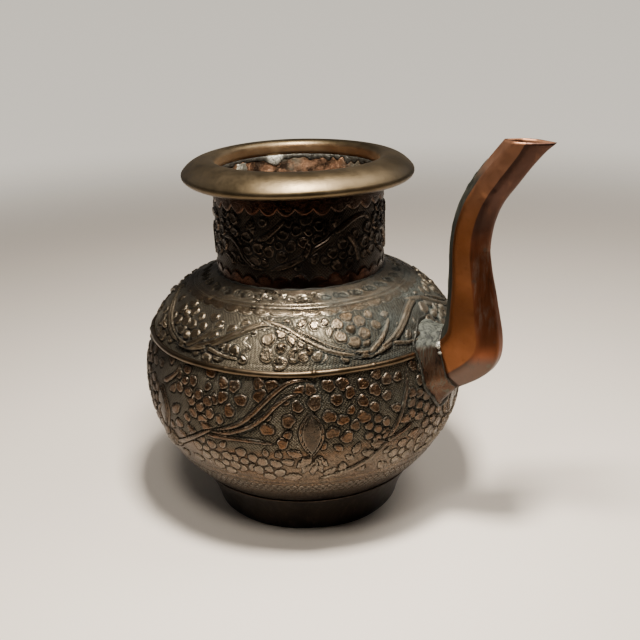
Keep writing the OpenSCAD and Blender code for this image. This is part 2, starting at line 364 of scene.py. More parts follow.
class Relief:
    """Height and signed distance to the nearest chased edge, in mm, and the kind of surface, for each grid point.
    Columns are pattern angles in degrees and rows are points of the profile."""

    def __init__(self, columns, profile):
        self.phi = np.arange(columns) * 360.0 / columns
        self.step = 360.0 / columns
        self.r, self.z = profile[:, 0], profile[:, 1]
        gap = np.hypot(np.diff(self.r), np.diff(self.z))
        self.s = np.concatenate([[0], np.cumsum(gap)])
        shape = (len(self.r), columns)
        self.height = np.zeros(shape)
        self.edge = np.full(shape, -3.0)
        self.kind = np.zeros(shape)

    def length_at(self, z):
        return np.interp(z, self.z, self.s)

    def window(self, phi, z, reach):
        """Rows, columns, and the local offsets in mm from a point."""
        s0 = self.length_at(z)
        rows = np.nonzero(np.abs(self.s - s0) <= reach)[0]
        if len(rows) == 0:
            return None
        radius = np.interp(s0, self.s, self.r)
        half = int(math.degrees(reach / radius) / self.step) + 1
        middle = int(round(phi / self.step))
        columns = np.arange(middle - half, middle + half + 1)
        across = np.radians(columns * self.step - phi)[None, :] * self.r[rows][:, None]
        up = (self.s[rows] - s0)[:, None] + np.zeros_like(across)
        return np.ix_(rows, columns % len(self.phi)), across, up

    def lay(self, index, sd, top, kind, groove=0.35, soft=0.55, cover=0.8):
        """Lays one motif over what is there. sd is its signed distance, positive inside, and top its own height."""
        share = smoothstep(sd, -cover, -cover * 0.4)
        rise = smoothstep(sd, -0.25, soft)
        own = 1.2 * top * rise - 1.3 * groove * np.exp(-(((sd + 0.35) / 0.5) ** 2))
        self.height[index] = self.height[index] * (1 - share) + own * share
        old = self.edge[index]
        self.edge[index] = np.where(sd > -cover, sd, np.maximum(old, np.minimum(sd, -cover)))
        self.edge[index] = np.where((old > 0) & (sd <= -cover), old, self.edge[index])
        self.kind[index] = np.where(sd > -0.3, kind, self.kind[index])

    def disc(self, phi, z, r, top=0.9, kind=PETAL, wide=1.0, turn=0.0, dish=0.0, dome=0.35, rough=1.0, **how):
        """A low boss or petal, its long side across by wide and turned in degrees. A dish is sunk in its middle."""
        found = self.window(phi, z, r * max(wide, 1) * 1.1 + 1.6)
        if not found:
            return
        index, x, y = found
        c, s = math.cos(math.radians(turn)), math.sin(math.radians(turn))
        a, b = (x * c + y * s) / wide, -x * s + y * c
        around = np.arctan2(b, a)
        uneven = 1 + rough * (0.06 * np.sin(2 * around + 1.7 * phi) + 0.05 * np.sin(3 * around + 2.3 * z) + 0.03 * np.sin(5 * around + phi + z))
        rho = np.hypot(a, b) / (r * uneven)
        sd = (1 - rho) * r
        body = 1 - dome + dome * np.sqrt(np.clip(1 - rho**2, 0, 1)) - dish * smoothstep(rho, 0.86, 0.5)
        self.lay(index, sd, top * body, kind, **how)

    def rosette(self, phi, z, radius=6.0, petals=5, petal=2.5, centre=2.1, start=90.0, top=0.7, dome=0.35, dish=0.0, boss=0.6):
        """A flower: petals about a round centre."""
        s0 = self.length_at(z)
        r0 = np.interp(s0, self.s, self.r)
        for i in range(petals):
            a = math.radians(start + 360.0 * i / petals)
            at = s0 + radius * math.sin(a)
            self.disc(phi + math.degrees(radius * math.cos(a) / r0), np.interp(at, self.s, self.z), petal, top, wide=1.12, turn=math.degrees(a) + 90, dome=dome, dish=dish)
        self.disc(phi, z, centre, top * (1 + 0.5 * boss), dome=boss, dish=dish * (1 - boss))

    def fill(self, rng, low, high, sizes, top, tries, leaves=0.0, **how):
        """Small bosses and leaves in whatever open ground is left between two heights."""
        for _ in range(tries):
            phi, z = rng.uniform(0, 360), rng.uniform(low, high)
            r = rng.uniform(*sizes)
            turn = rng.uniform(0, 180)
            index, x, y = self.window(phi, z, r + 0.8)
            if (self.edge[index][np.hypot(x, y) < r + 0.75] > -0.6).any():
                continue
            if rng.uniform() < leaves:
                r0 = float(np.interp(z, self.z, self.r))
                dx, dy = 1.5 * r * math.cos(math.radians(turn)), 1.5 * r * math.sin(math.radians(turn))
                step = math.degrees(dx / r0)
                self.leaf((phi - step, z - dy), (phi + step, z + dy), 1.7 * r, top, 4)
            else:
                self.disc(phi, z, r, top, wide=rng.uniform(1.0, 1.2), turn=turn, **how)

    def path(self, points, step=0.8):
        """A smooth line through given points, as angle and length along the profile."""
        p = np.asarray(points, float)
        p[:, 1] = self.length_at(p[:, 1])
        full = np.vstack([2 * p[0] - p[1], p, 2 * p[-1] - p[-2]])
        out = []
        for i in range(1, len(full) - 2):
            a, b, c, d = full[i - 1 : i + 3]
            r0 = np.interp(b[1], self.s, self.r)
            n = max(2, int(math.hypot(math.radians(c[0] - b[0]) * r0, c[1] - b[1]) / step))
            t = (np.arange(n) / n)[:, None]
            out.append(0.5 * (2 * b + (c - a) * t + (2 * a - 5 * b + 4 * c - d) * t**2 + (3 * b - a - 3 * c + d) * t**3))
        out.append(p[-1:])
        return np.vstack(out)

    def distance(self, line, reach):
        """Distance to a line in mm, and the share along it of the nearest point, near the line only."""
        far = np.full(self.height.shape, 99.0)
        along = np.zeros(self.height.shape)
        count = len(line)
        for i, (phi, s) in enumerate(line):
            found = self.window(phi, float(np.interp(s, self.s, self.z)), reach)
            if not found:
                continue
            index, x, y = found
            d = np.hypot(x, y)
            nearer = d < far[index]
            far[index] = np.where(nearer, d, far[index])
            along[index] = np.where(nearer, i / (count - 1), along[index])
        return far, along

    def stem(self, points, width=2.6, top=0.75, taper=0.5, double=True, kind=STEM, **how):
        """A raised band along a path, narrowing to its far end, with a groove down its middle when double."""
        far, along = self.distance(self.path(points), width / 2 + 1.6)
        half = width / 2 * (1 - taper * along)
        if taper:
            half = half * np.sqrt(smoothstep(along, -0.02, 0.14) * smoothstep(along, 1.02, 0.84))
        sd = half - far
        body = 0.75 + 0.25 * np.sqrt(np.clip(1 - (far / np.maximum(half, 0.2)) ** 2, 0, 1))
        if double:
            body = body - 0.36 * np.exp(-((far / 0.55) ** 2))
        rows, columns = np.nonzero(far < 90)
        if len(rows):
            self.lay((rows, columns), sd[rows, columns], (top * body)[rows, columns], kind, **how)

    def leaf(self, start, end, width=6.0, top=0.8, teeth=0, veins=True, kind=PETAL, **how):
        """A pointed leaf between two points, with a midrib, slanting veins and toothed edges."""
        z_mid = (start[1] + end[1]) / 2
        found = self.window((start[0] + end[0]) / 2, z_mid, 0.75 * self.between(start, end) + width)
        if not found:
            return
        index, x, y = found
        r0 = float(np.interp(z_mid, self.z, self.r))
        dx = math.radians(end[0] - start[0]) * r0
        dy = float(self.length_at(end[1]) - self.length_at(start[1]))
        long = math.hypot(dx, dy)
        cx, cy = dx / long, dy / long
        mid_y = (self.length_at(start[1]) + self.length_at(end[1])) / 2 - self.length_at(z_mid)
        t = (x * cx + (y - mid_y) * cy) / long + 0.5
        across = -x * cy + (y - mid_y) * cx
        body = np.sin(np.clip(t, 0, 1) ** 0.8 * math.pi) ** 0.85
        half = width / 2 * body
        if teeth:
            half = half * (1 + 0.16 * np.cos(TAU * teeth * t))
        sd = np.where((t > 0) & (t < 1), half - np.abs(across), -np.maximum(np.abs(across), 0.2) - np.abs(t - np.clip(t, 0, 1)) * long)
        height = 0.9 - 0.4 * np.exp(-((across / 0.35) ** 2))
        if veins:
            height = height + 0.16 * np.cos(TAU * (t * long - 0.9 * np.abs(across)) / 1.9)
        self.lay(index, np.clip(sd, -3, 3), top * height, kind, **how)

    def between(self, a, b):
        r0 = float(np.interp((a[1] + b[1]) / 2, self.z, self.r))
        return math.hypot(math.radians(b[0] - a[0]) * r0, float(self.length_at(b[1]) - self.length_at(a[1])))

    def line(self, z, depth=0.35, width=0.45, wobble=0.25, seed=1):
        """A chased groove all the way round."""
        level = self.length_at(z) + wobble * waves(seed, 5, np.radians(self.phi), 0.0, 80, 40)
        away = np.abs(self.s[:, None] - level[None, :])
        self.height -= depth * np.exp(-((away / width) ** 2))
        near = away < width * 1.4
        self.edge = np.where(near, np.minimum(self.edge, np.maximum(away - 0.25, -0.25)), self.edge)

    def ridge(self, z, height=0.8, width=1.2, wobble=0.2, seed=1, kind=BAND):
        """A raised line all the way round."""
        level = self.length_at(z) + wobble * waves(seed, 5, np.radians(self.phi), 0.0, 80, 40)
        sd = width - np.abs(self.s[:, None] - level[None, :])
        rows = np.nonzero((sd > -1.5).any(1))[0]
        index = np.ix_(rows, np.arange(len(self.phi)))
        body = 0.5 + 0.5 * np.sqrt(np.clip(1 - ((width - sd[rows]) / width) ** 2, 0, 1))
        self.lay(index, sd[rows], height * body, kind)

    def scallops(self, z, lobes, depth, above=True, top=0.45, start=0.0, seed=3, pointed=0.6, kind=BAND):
        """A smooth band above or below a row of lobes, whose cusps point into the band."""
        rng = np.random.default_rng(seed)
        t = (self.phi - start) / 360.0 * lobes
        size = 1 + 0.22 * rng.uniform(-1, 1, lobes)
        lobe = np.abs(np.sin(math.pi * t)) ** pointed * size[(np.floor(t) % lobes).astype(int)]
        level = self.length_at(z) + (-lobe if above else lobe) * depth
        sd = (self.s[:, None] - level[None, :]) * (1 if above else -1)
        rows = np.nonzero((sd > -1.5).any(1))[0]
        index = np.ix_(rows, np.arange(len(self.phi)))
        sd = np.clip(sd[rows], -3, 3)
        self.lay(index, sd, np.full(sd.shape, top), kind, soft=0.8)


def jitter(rng, amount):
    return rng.uniform(-amount, amount)


# ---- Round shells ----
def shell_faces(rings, columns, closed):
    """Quads between rings of points, one after another, and from the last ring to the first when closed."""
    i = np.arange(columns)
    j = (i + 1) % columns
    faces = []
    for k in range(rings if closed else rings - 1):
        a, b = k * columns, ((k + 1) % rings) * columns
        faces.append(np.stack([a + i, b + i, b + j, a + j], 1))
    return np.concatenate(faces)


def ring_points(r, z, angles):
    """Points of one ring per row, for radius and height arrays of rows by columns."""
    x = r * np.cos(angles)[None, :]
    y = r * np.sin(angles)[None, :]
    return np.stack([x, y, np.broadcast_to(z, x.shape)], 2)


def pattern_angles(columns):
    return PATTERN_TURN - np.arange(columns) * TAU / columns


def add_values(obj, name, values, vector=False):
    kind = "FLOAT_VECTOR" if vector else "FLOAT"
    attribute = obj.data.attributes.new(name, kind, "POINT")
    attribute.data.foreach_set("vector" if vector else "value", np.ascontiguousarray(values, np.float32).ravel())


def chased_shell(name, relief, normals, inner, finish, base=0.0, caps=None):
    """A closed sheet piece: an outer skin moved by its relief, and a plain inner skin of [radius, height] rows.
    The skins share columns. finish is a rows x columns x 3 array of three shares: rubbing with painted light,
    verdigris, and darkening with painted shade."""
    columns = len(relief.phi)
    angles = pattern_angles(columns)
    h = relief.height + base
    outer = ring_points(relief.r[:, None] + normals[:, :1] * h, relief.z[:, None] + normals[:, 1:] * h, angles)
    inner = np.asarray(inner, float)
    back = ring_points(np.repeat(inner[:, :1], columns, 1), np.repeat(inner[:, 1:], columns, 1), angles)
    points = np.concatenate([outer, back]).reshape(-1, 3)
    rings = len(outer) + len(back)
    faces = shell_faces(rings, columns, caps is None).tolist()
    extra = []
    if caps:
        bottom, top = len(points), len(points) + 1
        extra = [(0, 0, caps[0]), (0, 0, caps[1])]
        last = (rings - 1) * columns
        faces += [(bottom, i, (i + 1) % columns) for i in range(columns)]
        faces += [(top, last + (i + 1) % columns, last + i) for i in range(columns)]
    # Columns run clockwise, so every face is turned to look outwards.
    faces = [tuple(reversed(f)) for f in faces]
    if extra:
        points = np.concatenate([points, extra])
    obj = mesh_object(name, points, faces)
    plain = np.full(len(points) - outer.shape[0] * columns, 3.0)
    flat = np.zeros(len(plain))
    s = np.repeat(relief.s[:, None], columns, 1)
    u = np.radians(relief.phi)[None, :] * relief.r[:, None]
    chart = np.stack([u, s, np.zeros_like(u)], 2).reshape(-1, 3)
    add_values(obj, "edge", np.concatenate([relief.edge.ravel(), plain]))
    add_values(obj, "kind", np.concatenate([relief.kind.ravel(), flat + INSIDE]))
    add_values(obj, "relief", np.concatenate([relief.height.ravel(), flat + 0.3]))
    add_values(obj, "chart", np.concatenate([chart, np.zeros((len(plain), 3))]), True)
    finish_values = np.concatenate([finish.reshape(-1, 3), np.tile([[0.1, 0.5, 0.4]], (len(plain), 1))])
    add_values(obj, "finish", finish_values, True)
    return obj


# ---- Bowl ----
BOWL_COLUMNS = 720

# The flowers of one 120 degree panel, as [angle, height]; the pattern repeats three times round.
BOWL_ROSETTES = [
    (127.3, 78.9, 6.0, 6, 2.5, 2.5, 80), (134.8, 89.2, 5.6, 5, 2.3, 2.1, 95), (49.0, 74.5, 6.0, 6, 2.5, 2.3, 90), (41.0, 62.8, 5.8, 5, 2.5, 2.2, 70),
    (112.2, 53.4, 5.6, 5, 2.5, 2.1, 80), (103.6, 49.8, 5.4, 5, 2.5, 2.0, 60), (120.2, 50.0, 5.4, 5, 2.4, 2.0, 40), (127.4, 56.4, 5.4, 5, 2.4, 2.0, 70),
    (54.5, 50.8, 5.6, 5, 2.4, 2.0, 80), (44.0, 87.6, 5.6, 5, 2.4, 2.0, 60), (66.2, 68.9, 5.2, 6, 2.1, 2.2, 90), (35.6, 76.0, 5.6, 5, 2.4, 2.0, 75),
    (36.0, 52.4, 5.6, 5, 2.4, 2.1, 20),
]
# Single bosses, as [angle, height, radius]
BOWL_DISCS = [
    (105.5, 94.4, 2.6), (101.3, 93.6, 2.8), (105.1, 88.9, 2.7), (114.2, 92.3, 2.7), (118.3, 92.8, 2.4), (118.3, 86.4, 2.5), (111.6, 86.2, 2.6), (115.7, 80.3, 2.6),
    (121.6, 84.2, 2.2), (82.4, 93.4, 2.7), (77.6, 93.4, 2.8), (88.6, 92.4, 2.6), (87.2, 86.1, 3.0), (92.8, 84.5, 2.4), (97.1, 87.2, 2.3), (70.6, 92.2, 2.4),
    (65.4, 95.2, 2.3), (66.6, 88.4, 2.6), (71.2, 84.4, 2.5), (67.2, 80.4, 2.3), (80.0, 86.6, 2.5), (82.6, 78.9, 2.8), (78.2, 76.6, 2.4), (71.2, 76.4, 2.9),
    (74.2, 73.0, 2.2), (81.8, 70.7, 2.8), (76.9, 67.4, 2.7), (95.8, 77.6, 2.8), (102.9, 73.1, 2.9), (108.1, 75.1, 2.4), (103.0, 79.4, 2.1), (75.4, 89.2, 2.3),
    (107.0, 81.0, 1.6), (96.2, 70.4, 1.9), (98.0, 65.8, 2.4), (112.2, 71.0, 2.0), (85.0, 64.2, 1.9), (75.4, 80.8, 1.8), (62.4, 84.4, 2.1), (61.8, 92.0, 2.4),
]
BOWL_STEMS = [
    [(127.0, 65.4), (119.0, 69.4), (112.0, 74.8), (107.4, 80.4), (103.2, 86.6), (99.4, 91.6), (95.6, 95.2), (91.0, 96.4), (86.6, 94.6)],
    [(128.0, 65.0), (117.0, 68.6), (109.0, 73.4), (103.6, 79.0), (100.4, 84.0), (96.0, 88.6), (91.8, 90.2)],
    [(146.5, 50.5), (140.0, 54.4), (134.0, 59.2), (128.0, 64.4), (123.0, 68.4)],
    [(125.0, 65.0), (117.0, 65.8), (109.0, 66.2), (101.0, 65.2)],
    [(85.6, 43.8), (78.0, 46.6), (72.0, 49.8), (67.0, 54.2), (63.0, 59.4), (60.0, 66.0), (57.5, 72.4), (55.6, 79.4), (54.0, 86.4), (53.2, 94.0)],
    [(62.2, 60.8), (56.0, 63.6), (52.0, 66.4)],
    [(148.5, 48.0), (145.0, 49.6), (141.0, 52.4)],
    [(28.5, 48.0), (33.0, 46.6), (39.0, 45.4), (46.0, 44.6)],
    [(147.0, 84.0), (143.4, 87.2), (140.0, 91.0), (138.6, 95.0)],
    [(31.0, 60.0), (33.0, 66.0), (30.0, 71.0)],
]
BOWL_LEAVES = [
    ((93.8, 89.2), (90.4, 94.2), 4.6, 4), ((122.6, 67.0), (127.6, 71.2), 5.4, 5), ((115.6, 71.4), (113.0, 65.4), 4.6, 4), ((63.4, 59.0), (68.6, 61.6), 5.0, 5), ((58.0, 71.4), (52.6, 68.2), 4.8, 4),
    ((54.8, 83.4), (49.8, 80.4), 4.8, 4), ((72.6, 49.6), (69.4, 44.6), 4.4, 4), ((136.4, 56.0), (140.0, 62.0), 5.0, 5), ((92.2, 45.6), (99.4, 44.6), 5.0, 5), ((84.4, 44.8), (80.4, 50.2), 4.4, 4),
    ((130.6, 60.6), (134.2, 67.6), 5.0, 5), ((112.4, 76.8), (108.6, 71.2), 4.0, 4), ((77.8, 47.2), (78.2, 53.4), 4.4, 4), ((66.8, 54.8), (71.6, 57.4), 4.4, 4), ((142.0, 70.2), (137.4, 76.0), 4.8, 5),
    ((60.2, 66.2), (64.4, 63.0), 3.8, 4), ((56.6, 76.0), (61.4, 78.6), 4.4, 4),
]


def medallion(relief, phi):
    """A pointed almond boss in a rope-edged border, on a fan of hatched leaves."""
    for turn, reach in ((-52, 9.6), (-26, 11.0), (0, 11.6), (26, 11.0), (52, 9.6)):
        a = math.radians(turn)
        r0 = float(np.interp(56.0, relief.z, relief.r))
        tip = (phi + math.degrees(reach * math.sin(a) / r0), 57.5 - reach * math.cos(a))
        relief.leaf((phi, 58.4), tip, 4.6, 0.85, teeth=3)
    found = relief.window(phi, 69.5, 17.0)
    index, x, y = found
    t = (y + 11.8) / 24.0
    half = 6.1 * np.sin(np.clip(t, 0, 1) ** 1.12 * math.pi) ** 0.82
    sd = np.where((t > 0) & (t < 1), half - np.abs(x), -np.hypot(x, np.maximum(np.abs(y) - 12, 0)) - 0.2)
    rim = np.exp(-(((sd - 0.9) / 0.5) ** 2))
    inner = smoothstep(sd, 1.7, 2.4)
    relief.lay(index, np.clip(sd, -3, 3), 0.75 * rim + 0.95 * inner * (0.75 + 0.25 * np.cos(x / 3.0)), STEM, soft=0.4)
    edge = relief.edge[index]
    relief.edge[index] = np.where(sd > 1.0, np.minimum(edge, sd - 1.75), edge)
    relief.kind[index] = np.where(sd > 1.9, PETAL * 0.8, relief.kind[index])


# Below this height the bowl's flowers are rubbed flatter
RUBBED_Z = 58.0


def bowl_relief():
    ornament = np.linspace(bowl_angle(33.0), GIRDLE_ANGLE, 106)
    plain = np.linspace(bowl_angle(20.5), bowl_angle(33.0), 11)[:-1]
    under = np.linspace(bowl_angle(BOTTOM_Z), bowl_angle(20.5), 7)[:-1]
    angles = np.concatenate([under, plain, ornament])
    profile, normals = arc(BOWL_CENTRE, BOWL_ARC, angles)
    relief = Relief(BOWL_COLUMNS, profile)
    rng = np.random.default_rng(11)
    for copy in range(3):
        shift = 120.0 * copy
        loose = 0.0 if copy == 0 else 1.0

        def off(amount):
            return loose * jitter(rng, amount)

        for phi, z, size in BOWL_DISCS:
            top = 0.85 if z > RUBBED_Z else 0.55
            relief.disc(phi + shift + off(1.0), z + off(0.6), size * 1.12, top, wide=1.06, turn=rng.uniform(0, 180), dome=0.15, dish=0.4, rough=1.7)
        for phi, z, radius, petals, petal, centre, start in BOWL_ROSETTES:
            top = 0.8 if z > RUBBED_Z else 0.55
            relief.rosette(phi + shift + off(1.0), z + off(0.8), radius, petals, petal, centre, start + off(30), top, 0.1, 0.42, 0.1)
        for a, b, width, teeth in BOWL_LEAVES:
            relief.leaf((a[0] + shift, a[1]), (b[0] + shift + off(1), b[1] + off(0.8)), width, 0.7, teeth)
        medallion(relief, 88.5 + shift)
        medallion(relief, 28.5 + shift)
        for points in BOWL_STEMS:
            relief.stem([(p + shift + off(0.6), z + off(0.5)) for p, z in points], 2.7, 1.0, 0.35)
    relief.fill(rng, 44.5, 63.0, (1.7, 2.8), 0.6, 1500, 0.7, dome=0.1, dish=0.3, rough=2.2)
    relief.fill(rng, 63.0, 96.5, (1.9, 2.7), 0.75, 1700, 0.3, dome=0.1, dish=0.42, rough=1.8)
    relief.line(42.2, 0.4, 0.5, seed=4)
    relief.line(38.8, 0.4, 0.5, seed=5)
    scale_band(relief)
    return relief, normals, profile


def scale_band(relief):
    """Small overlapping punch marks below the lower border lines."""
    for row, z in enumerate((36.9, 34.9, 32.9)):
        count = 132
        for i in range(count):
            phi = (i + 0.5 * (row % 2)) * 360.0 / count
            relief.disc(phi, z, 1.25, 0.05, kind=GROUND, wide=0.9, groove=0.10, soft=0.4, cover=0.5)


def bowl_finish(relief):
    """Rubbing, verdigris and darkening, with painted light in them. The lower half is brighter than the upper: partly
    rubbed metal, partly a painted reflection of the bright floor. The left side gets painted shade, and the bowl
    darkens towards the bottom.
    """
    phi = np.radians(relief.phi)[None, :]
    z = relief.z[:, None]
    cloud = waves(21, 9, phi, relief.s[:, None], 120, 34)
    # The left side, turned away from the lights, gets painted shade: less brightness and more darkening
    left = smoothstep(np.abs(np.angle(np.exp(1j * (phi - math.radians(168))))), 0.9, 0.2)
    # Brighter below about 60 mm: partly rubbed metal, partly a painted reflection of the bright floor; darker on the
    # left as painted shade
    wear_and_painted_light = smoothstep(z, 66, 52) * 0.52 + 0.08 + 0.08 * cloud - 0.2 * left
    green = smoothstep(z, 56, 74) * 0.16 + 0.1 * waves(22, 9, phi, relief.s[:, None], 90, 30)
    near_spout = np.exp(-((np.angle(np.exp(1j * (phi - PATTERN_TURN))) / 0.32) ** 2))
    green = green + 0.35 * near_spout * smoothstep(z, 60, 85)
    # Darker towards the bottom, and darker on the left side as painted shade
    soot_and_painted_shade = smoothstep(z, 40, 24) * 0.9 + 0.42 * left + 0.15 * waves(23, 7, phi, relief.s[:, None], 90, 40)
    out = np.stack(np.broadcast_arrays(wear_and_painted_light, green, soot_and_painted_shade), 2)
    return np.clip(out, 0, 1)


def pierce(obj):
    """Cuts the pour hole under the spout's socket."""
    turns = np.arange(48) * TAU / 48
    ring = np.stack([np.zeros(48), POUR_HOLE_R * np.cos(turns), POUR_HOLE_Z + POUR_HOLE_R * np.sin(turns)], 1)
    ends = np.concatenate([ring + [BELLY_R - 16, 0, 0], ring + [BELLY_R + 6, 0, 0]])
    faces = [tuple(range(47, -1, -1)), tuple(range(48, 96))]
    faces += [(i, (i + 1) % 48, 48 + (i + 1) % 48, 48 + i) for i in range(48)]
    tool = mesh_object("pour_hole_tool", ends, faces, False)
    cut = obj.modifiers.new("pour_hole", "BOOLEAN")
    cut.operation = "DIFFERENCE"
    cut.solver = "EXACT"
    cut.object = tool
    bpy.context.view_layer.update()
    cut_mesh = bpy.data.meshes.new_from_object(obj.evaluated_get(bpy.context.evaluated_depsgraph_get()))
    obj.modifiers.clear()
    obj.data = cut_mesh
    weld = bmesh.new()
    weld.from_mesh(cut_mesh)
    bmesh.ops.dissolve_degenerate(weld, dist=0.02 * MM, edges=weld.edges)
    weld.to_mesh(cut_mesh)
    weld.free()
    bpy.data.objects.remove(tool)


def make_bowl():
    relief, normals, profile = bowl_relief()
    angles = np.linspace(GIRDLE_ANGLE, bowl_angle(BOTTOM_Z + 2.2), 12)
    inner, _ = arc(BOWL_CENTRE, BOWL_ARC - SHEET, angles)
    obj = chased_shell("bowl_chased", relief, normals, inner, bowl_finish(relief), -0.25, caps=(BOTTOM_Z, BOTTOM_Z + SHEET))
    pierce(obj)
    return obj


# ---- Shoulder ----
SHOULDER_COLUMNS = 800
VINE_WAVES = 5
SHOULDER_ROSETTES = [
    (98.5, 109.5, 7.2, 6, 3.2, 2.5, 90), (88.0, 108.6, 4.6, 4, 2.4, 2.3, 45), (71.0, 114.6, 6.6, 6, 3.0, 2.5, 30),
    (125.4, 106.6, 5.6, 5, 2.7, 2.3, 70), (140.0, 108.4, 5.8, 5, 2.7, 2.3, 90), (158.0, 107.6, 6.4, 6, 2.8, 2.4, 60),
    (148.0, 115.6, 5.6, 5, 2.6, 2.2, 80),
]
SHOULDER_DISCS = [
    (85.4, 117.3, 2.5), (81.0, 117.9, 2.2), (79.0, 114.6, 2.4), (91.4, 113.2, 1.8), (66.6, 109.0, 2.2), (60.9, 118.4, 2.2),
    (59.7, 114.4, 2.4), (53.2, 116.8, 2.2), (54.8, 113.4, 2.0), (57.8, 106.6, 2.3), (49.3, 111.4, 2.3), (45.0, 113.2, 2.2),
    (75.5, 104.2, 2.3), (63.4, 104.0, 2.2), (105.9, 117.4, 2.6), (114.5, 117.2, 2.4), (119.7, 114.6, 2.6), (125.8, 115.2, 2.6),
    (130.6, 117.6, 2.4), (133.7, 113.4, 2.4), (137.7, 116.4, 2.2), (115.7, 106.8, 2.6), (112.3, 103.8, 2.0), (132.4, 103.6, 2.2),
    (148.6, 104.0, 2.2), (152.4, 111.0, 2.3), (165.0, 104.6, 2.2), (166.6, 111.0, 2.2), (168.4, 117.2, 2.2), (35.4, 107.6, 2.3),
    (38.6, 103.8, 2.1), (43.2, 105.8, 2.2), (110.0, 114.6, 1.7), (96.8, 118.6, 1.7),
]


def vine_height(phi, lift=0.0):
    return 111.0 + 6.6 * np.cos(np.radians(VINE_WAVES * (phi - 103.0))) + lift


def shoulder_relief():
    angles = np.linspace(GIRDLE_ANGLE, COLLAR_ANGLE, 62)
    arc_part, arc_normals = arc(SHOULDER_CENTRE, SHOULDER_ARC, angles)
    collar_way = np.array([NECK_R + 0.4, COLLAR_Z]) - arc_part[-1]
    t = np.linspace(0, 1, 16)[1:, None]
    collar = arc_part[-1] + collar_way * t
    slope = np.array([collar_way[1], -collar_way[0]]) / np.hypot(*collar_way)
    normals = np.concatenate([arc_normals, np.repeat(slope[None, :], 15, 0)])
    profile = np.concatenate([arc_part, collar])
    relief = Relief(SHOULDER_COLUMNS, profile)
    rng = np.random.default_rng(17)
    # Lobed leaf edges between the flowers
    for copy in range(5):
        shift = 72.0 * copy
        relief.stem([(113.0 + shift, 102.6), (110.6 + shift, 104.6), (112.4 + shift, 106.8), (110.2 + shift, 109.0), (113.0 + shift, 111.0), (111.0 + shift, 113.6)], 1.6, 0.6, 0.2, False)
        relief.stem([(84.6 + shift, 103.0), (82.0 + shift, 105.4), (84.2 + shift, 107.6), (81.8 + shift, 110.2)], 1.5, 0.6, 0.2, False)
        relief.leaf((141.0 + shift, 118.6), (150.0 + shift, 110.4), 5.0, 0.75, 6)
        relief.leaf((108.4 + shift, 117.2), (102.6 + shift, 120.0), 4.4, 0.75, 5)
        relief.leaf((63.0 + shift, 106.6), (70.0 + shift, 103.4), 4.0, 0.7, 5)
        relief.leaf((92.0 + shift, 116.6), (88.6 + shift, 119.6), 3.8, 0.7, 4)
        relief.leaf((118.0 + shift, 109.4), (121.6 + shift, 103.6), 4.0, 0.75, 5)
    for shift, low, high in ((0.0, 31.0, 175.0), (144.0, 31.0, 175.0), (288.0, 31.0, 103.0)):
        loose = 0.0 if shift == 0 else 1.0
        for p, z, r in SHOULDER_DISCS:
            if low <= p < high:
                relief.disc(p + shift + loose * jitter(rng, 1.0), z + loose * jitter(rng, 0.5), r, 1.1, wide=1.08, turn=rng.uniform(0, 180), dome=0.25, dish=0.25)
        for p, z, radius, petals, petal, centre, start in SHOULDER_ROSETTES:
            if low <= p < high:
                relief.rosette(p + shift + loose * jitter(rng, 1.0), z, radius, petals, petal, centre, start + loose * jitter(rng, 30), 1.15, 0.25, 0.3, 1.0)
    phi = np.linspace(0, 360, 121)
    relief.stem([(p, float(vine_height(p))) for p in phi], 3.5, 1.35, 0.0)
    for copy in range(5):
        shift = 72.0 * copy
        relief.stem([(108.0 + shift, 119.4), (103.0 + shift, 118.0), (97.0 + shift, 116.4), (91.0 + shift, 113.0), (84.0 + shift, 109.0), (77.0 + shift, 106.0), (70.0 + shift, 104.4)], 2.8, 1.2, 0.3)
        relief.stem([(66.4 + shift, 104.4), (61.0 + shift, 108.0), (56.8 + shift, 111.6), (52.0 + shift, 116.0)], 3.0, 1.25, 0.4)
        relief.stem([(128.0 + shift, 106.4), (121.0 + shift, 104.6), (113.6 + shift, 104.0)], 2.4, 1.1, 0.5)
    relief.scallops(121.0, 45, 1.5, True, 0.35, 1.5, seed=5)
    relief.line(102.4, 0.35, 0.45, seed=6)
    relief.line(122.6, 0.4, 0.4, 0.1, seed=7)
    relief.line(123.5, 0.4, 0.4, 0.1, seed=8)
    for i in range(36):
        phi = 7.3 + i * 10.0 + jitter(rng, 0.8)
        relief.disc(phi, 125.2 + jitter(rng, 0.1), 1.5, -0.6, kind=GROUND, wide=1.5, turn=16 + jitter(rng, 12), groove=0.1)
        relief.disc(phi + 3.4, 125.6 + jitter(rng, 0.1), 1.0, -0.4, kind=GROUND, wide=1.3, turn=100, groove=0.1)
    return relief, normals, profile


def shoulder_finish(relief):
    phi = np.radians(relief.phi)[None, :]
    z = relief.z[:, None]
    cloud = waves(31, 9, phi, relief.s[:, None], 120, 30)
    side = np.angle(np.exp(1j * (phi - PATTERN_TURN - math.radians(4))))
    matte = smoothstep(np.abs(side) + 0.08 * cloud, 0.86, 0.5)
    # The far left side, turned away from the lights, is darkened and dulled as painted shade
    far_side_shade = smoothstep(np.abs(np.angle(np.exp(1j * (phi - math.radians(160))))), 0.85, 0.35)
    wear_and_painted_light = 0.42 + 0.12 * cloud - 0.4 * matte - 0.32 * far_side_shade + 0.45 * smoothstep(z, 122, 124.5)
    green = 0.12 + 0.9 * matte + 0.05 * far_side_shade + 0.12 * waves(32, 9, phi, relief.s[:, None], 90, 26)
    soot_and_painted_shade = 0.1 + 0.25 * matte + 0.42 * far_side_shade + 0.15 * waves(33, 7, phi, relief.s[:, None], 90, 36)
    return np.clip(np.stack(np.broadcast_arrays(wear_and_painted_light, green, soot_and_painted_shade), 2), 0, 1)


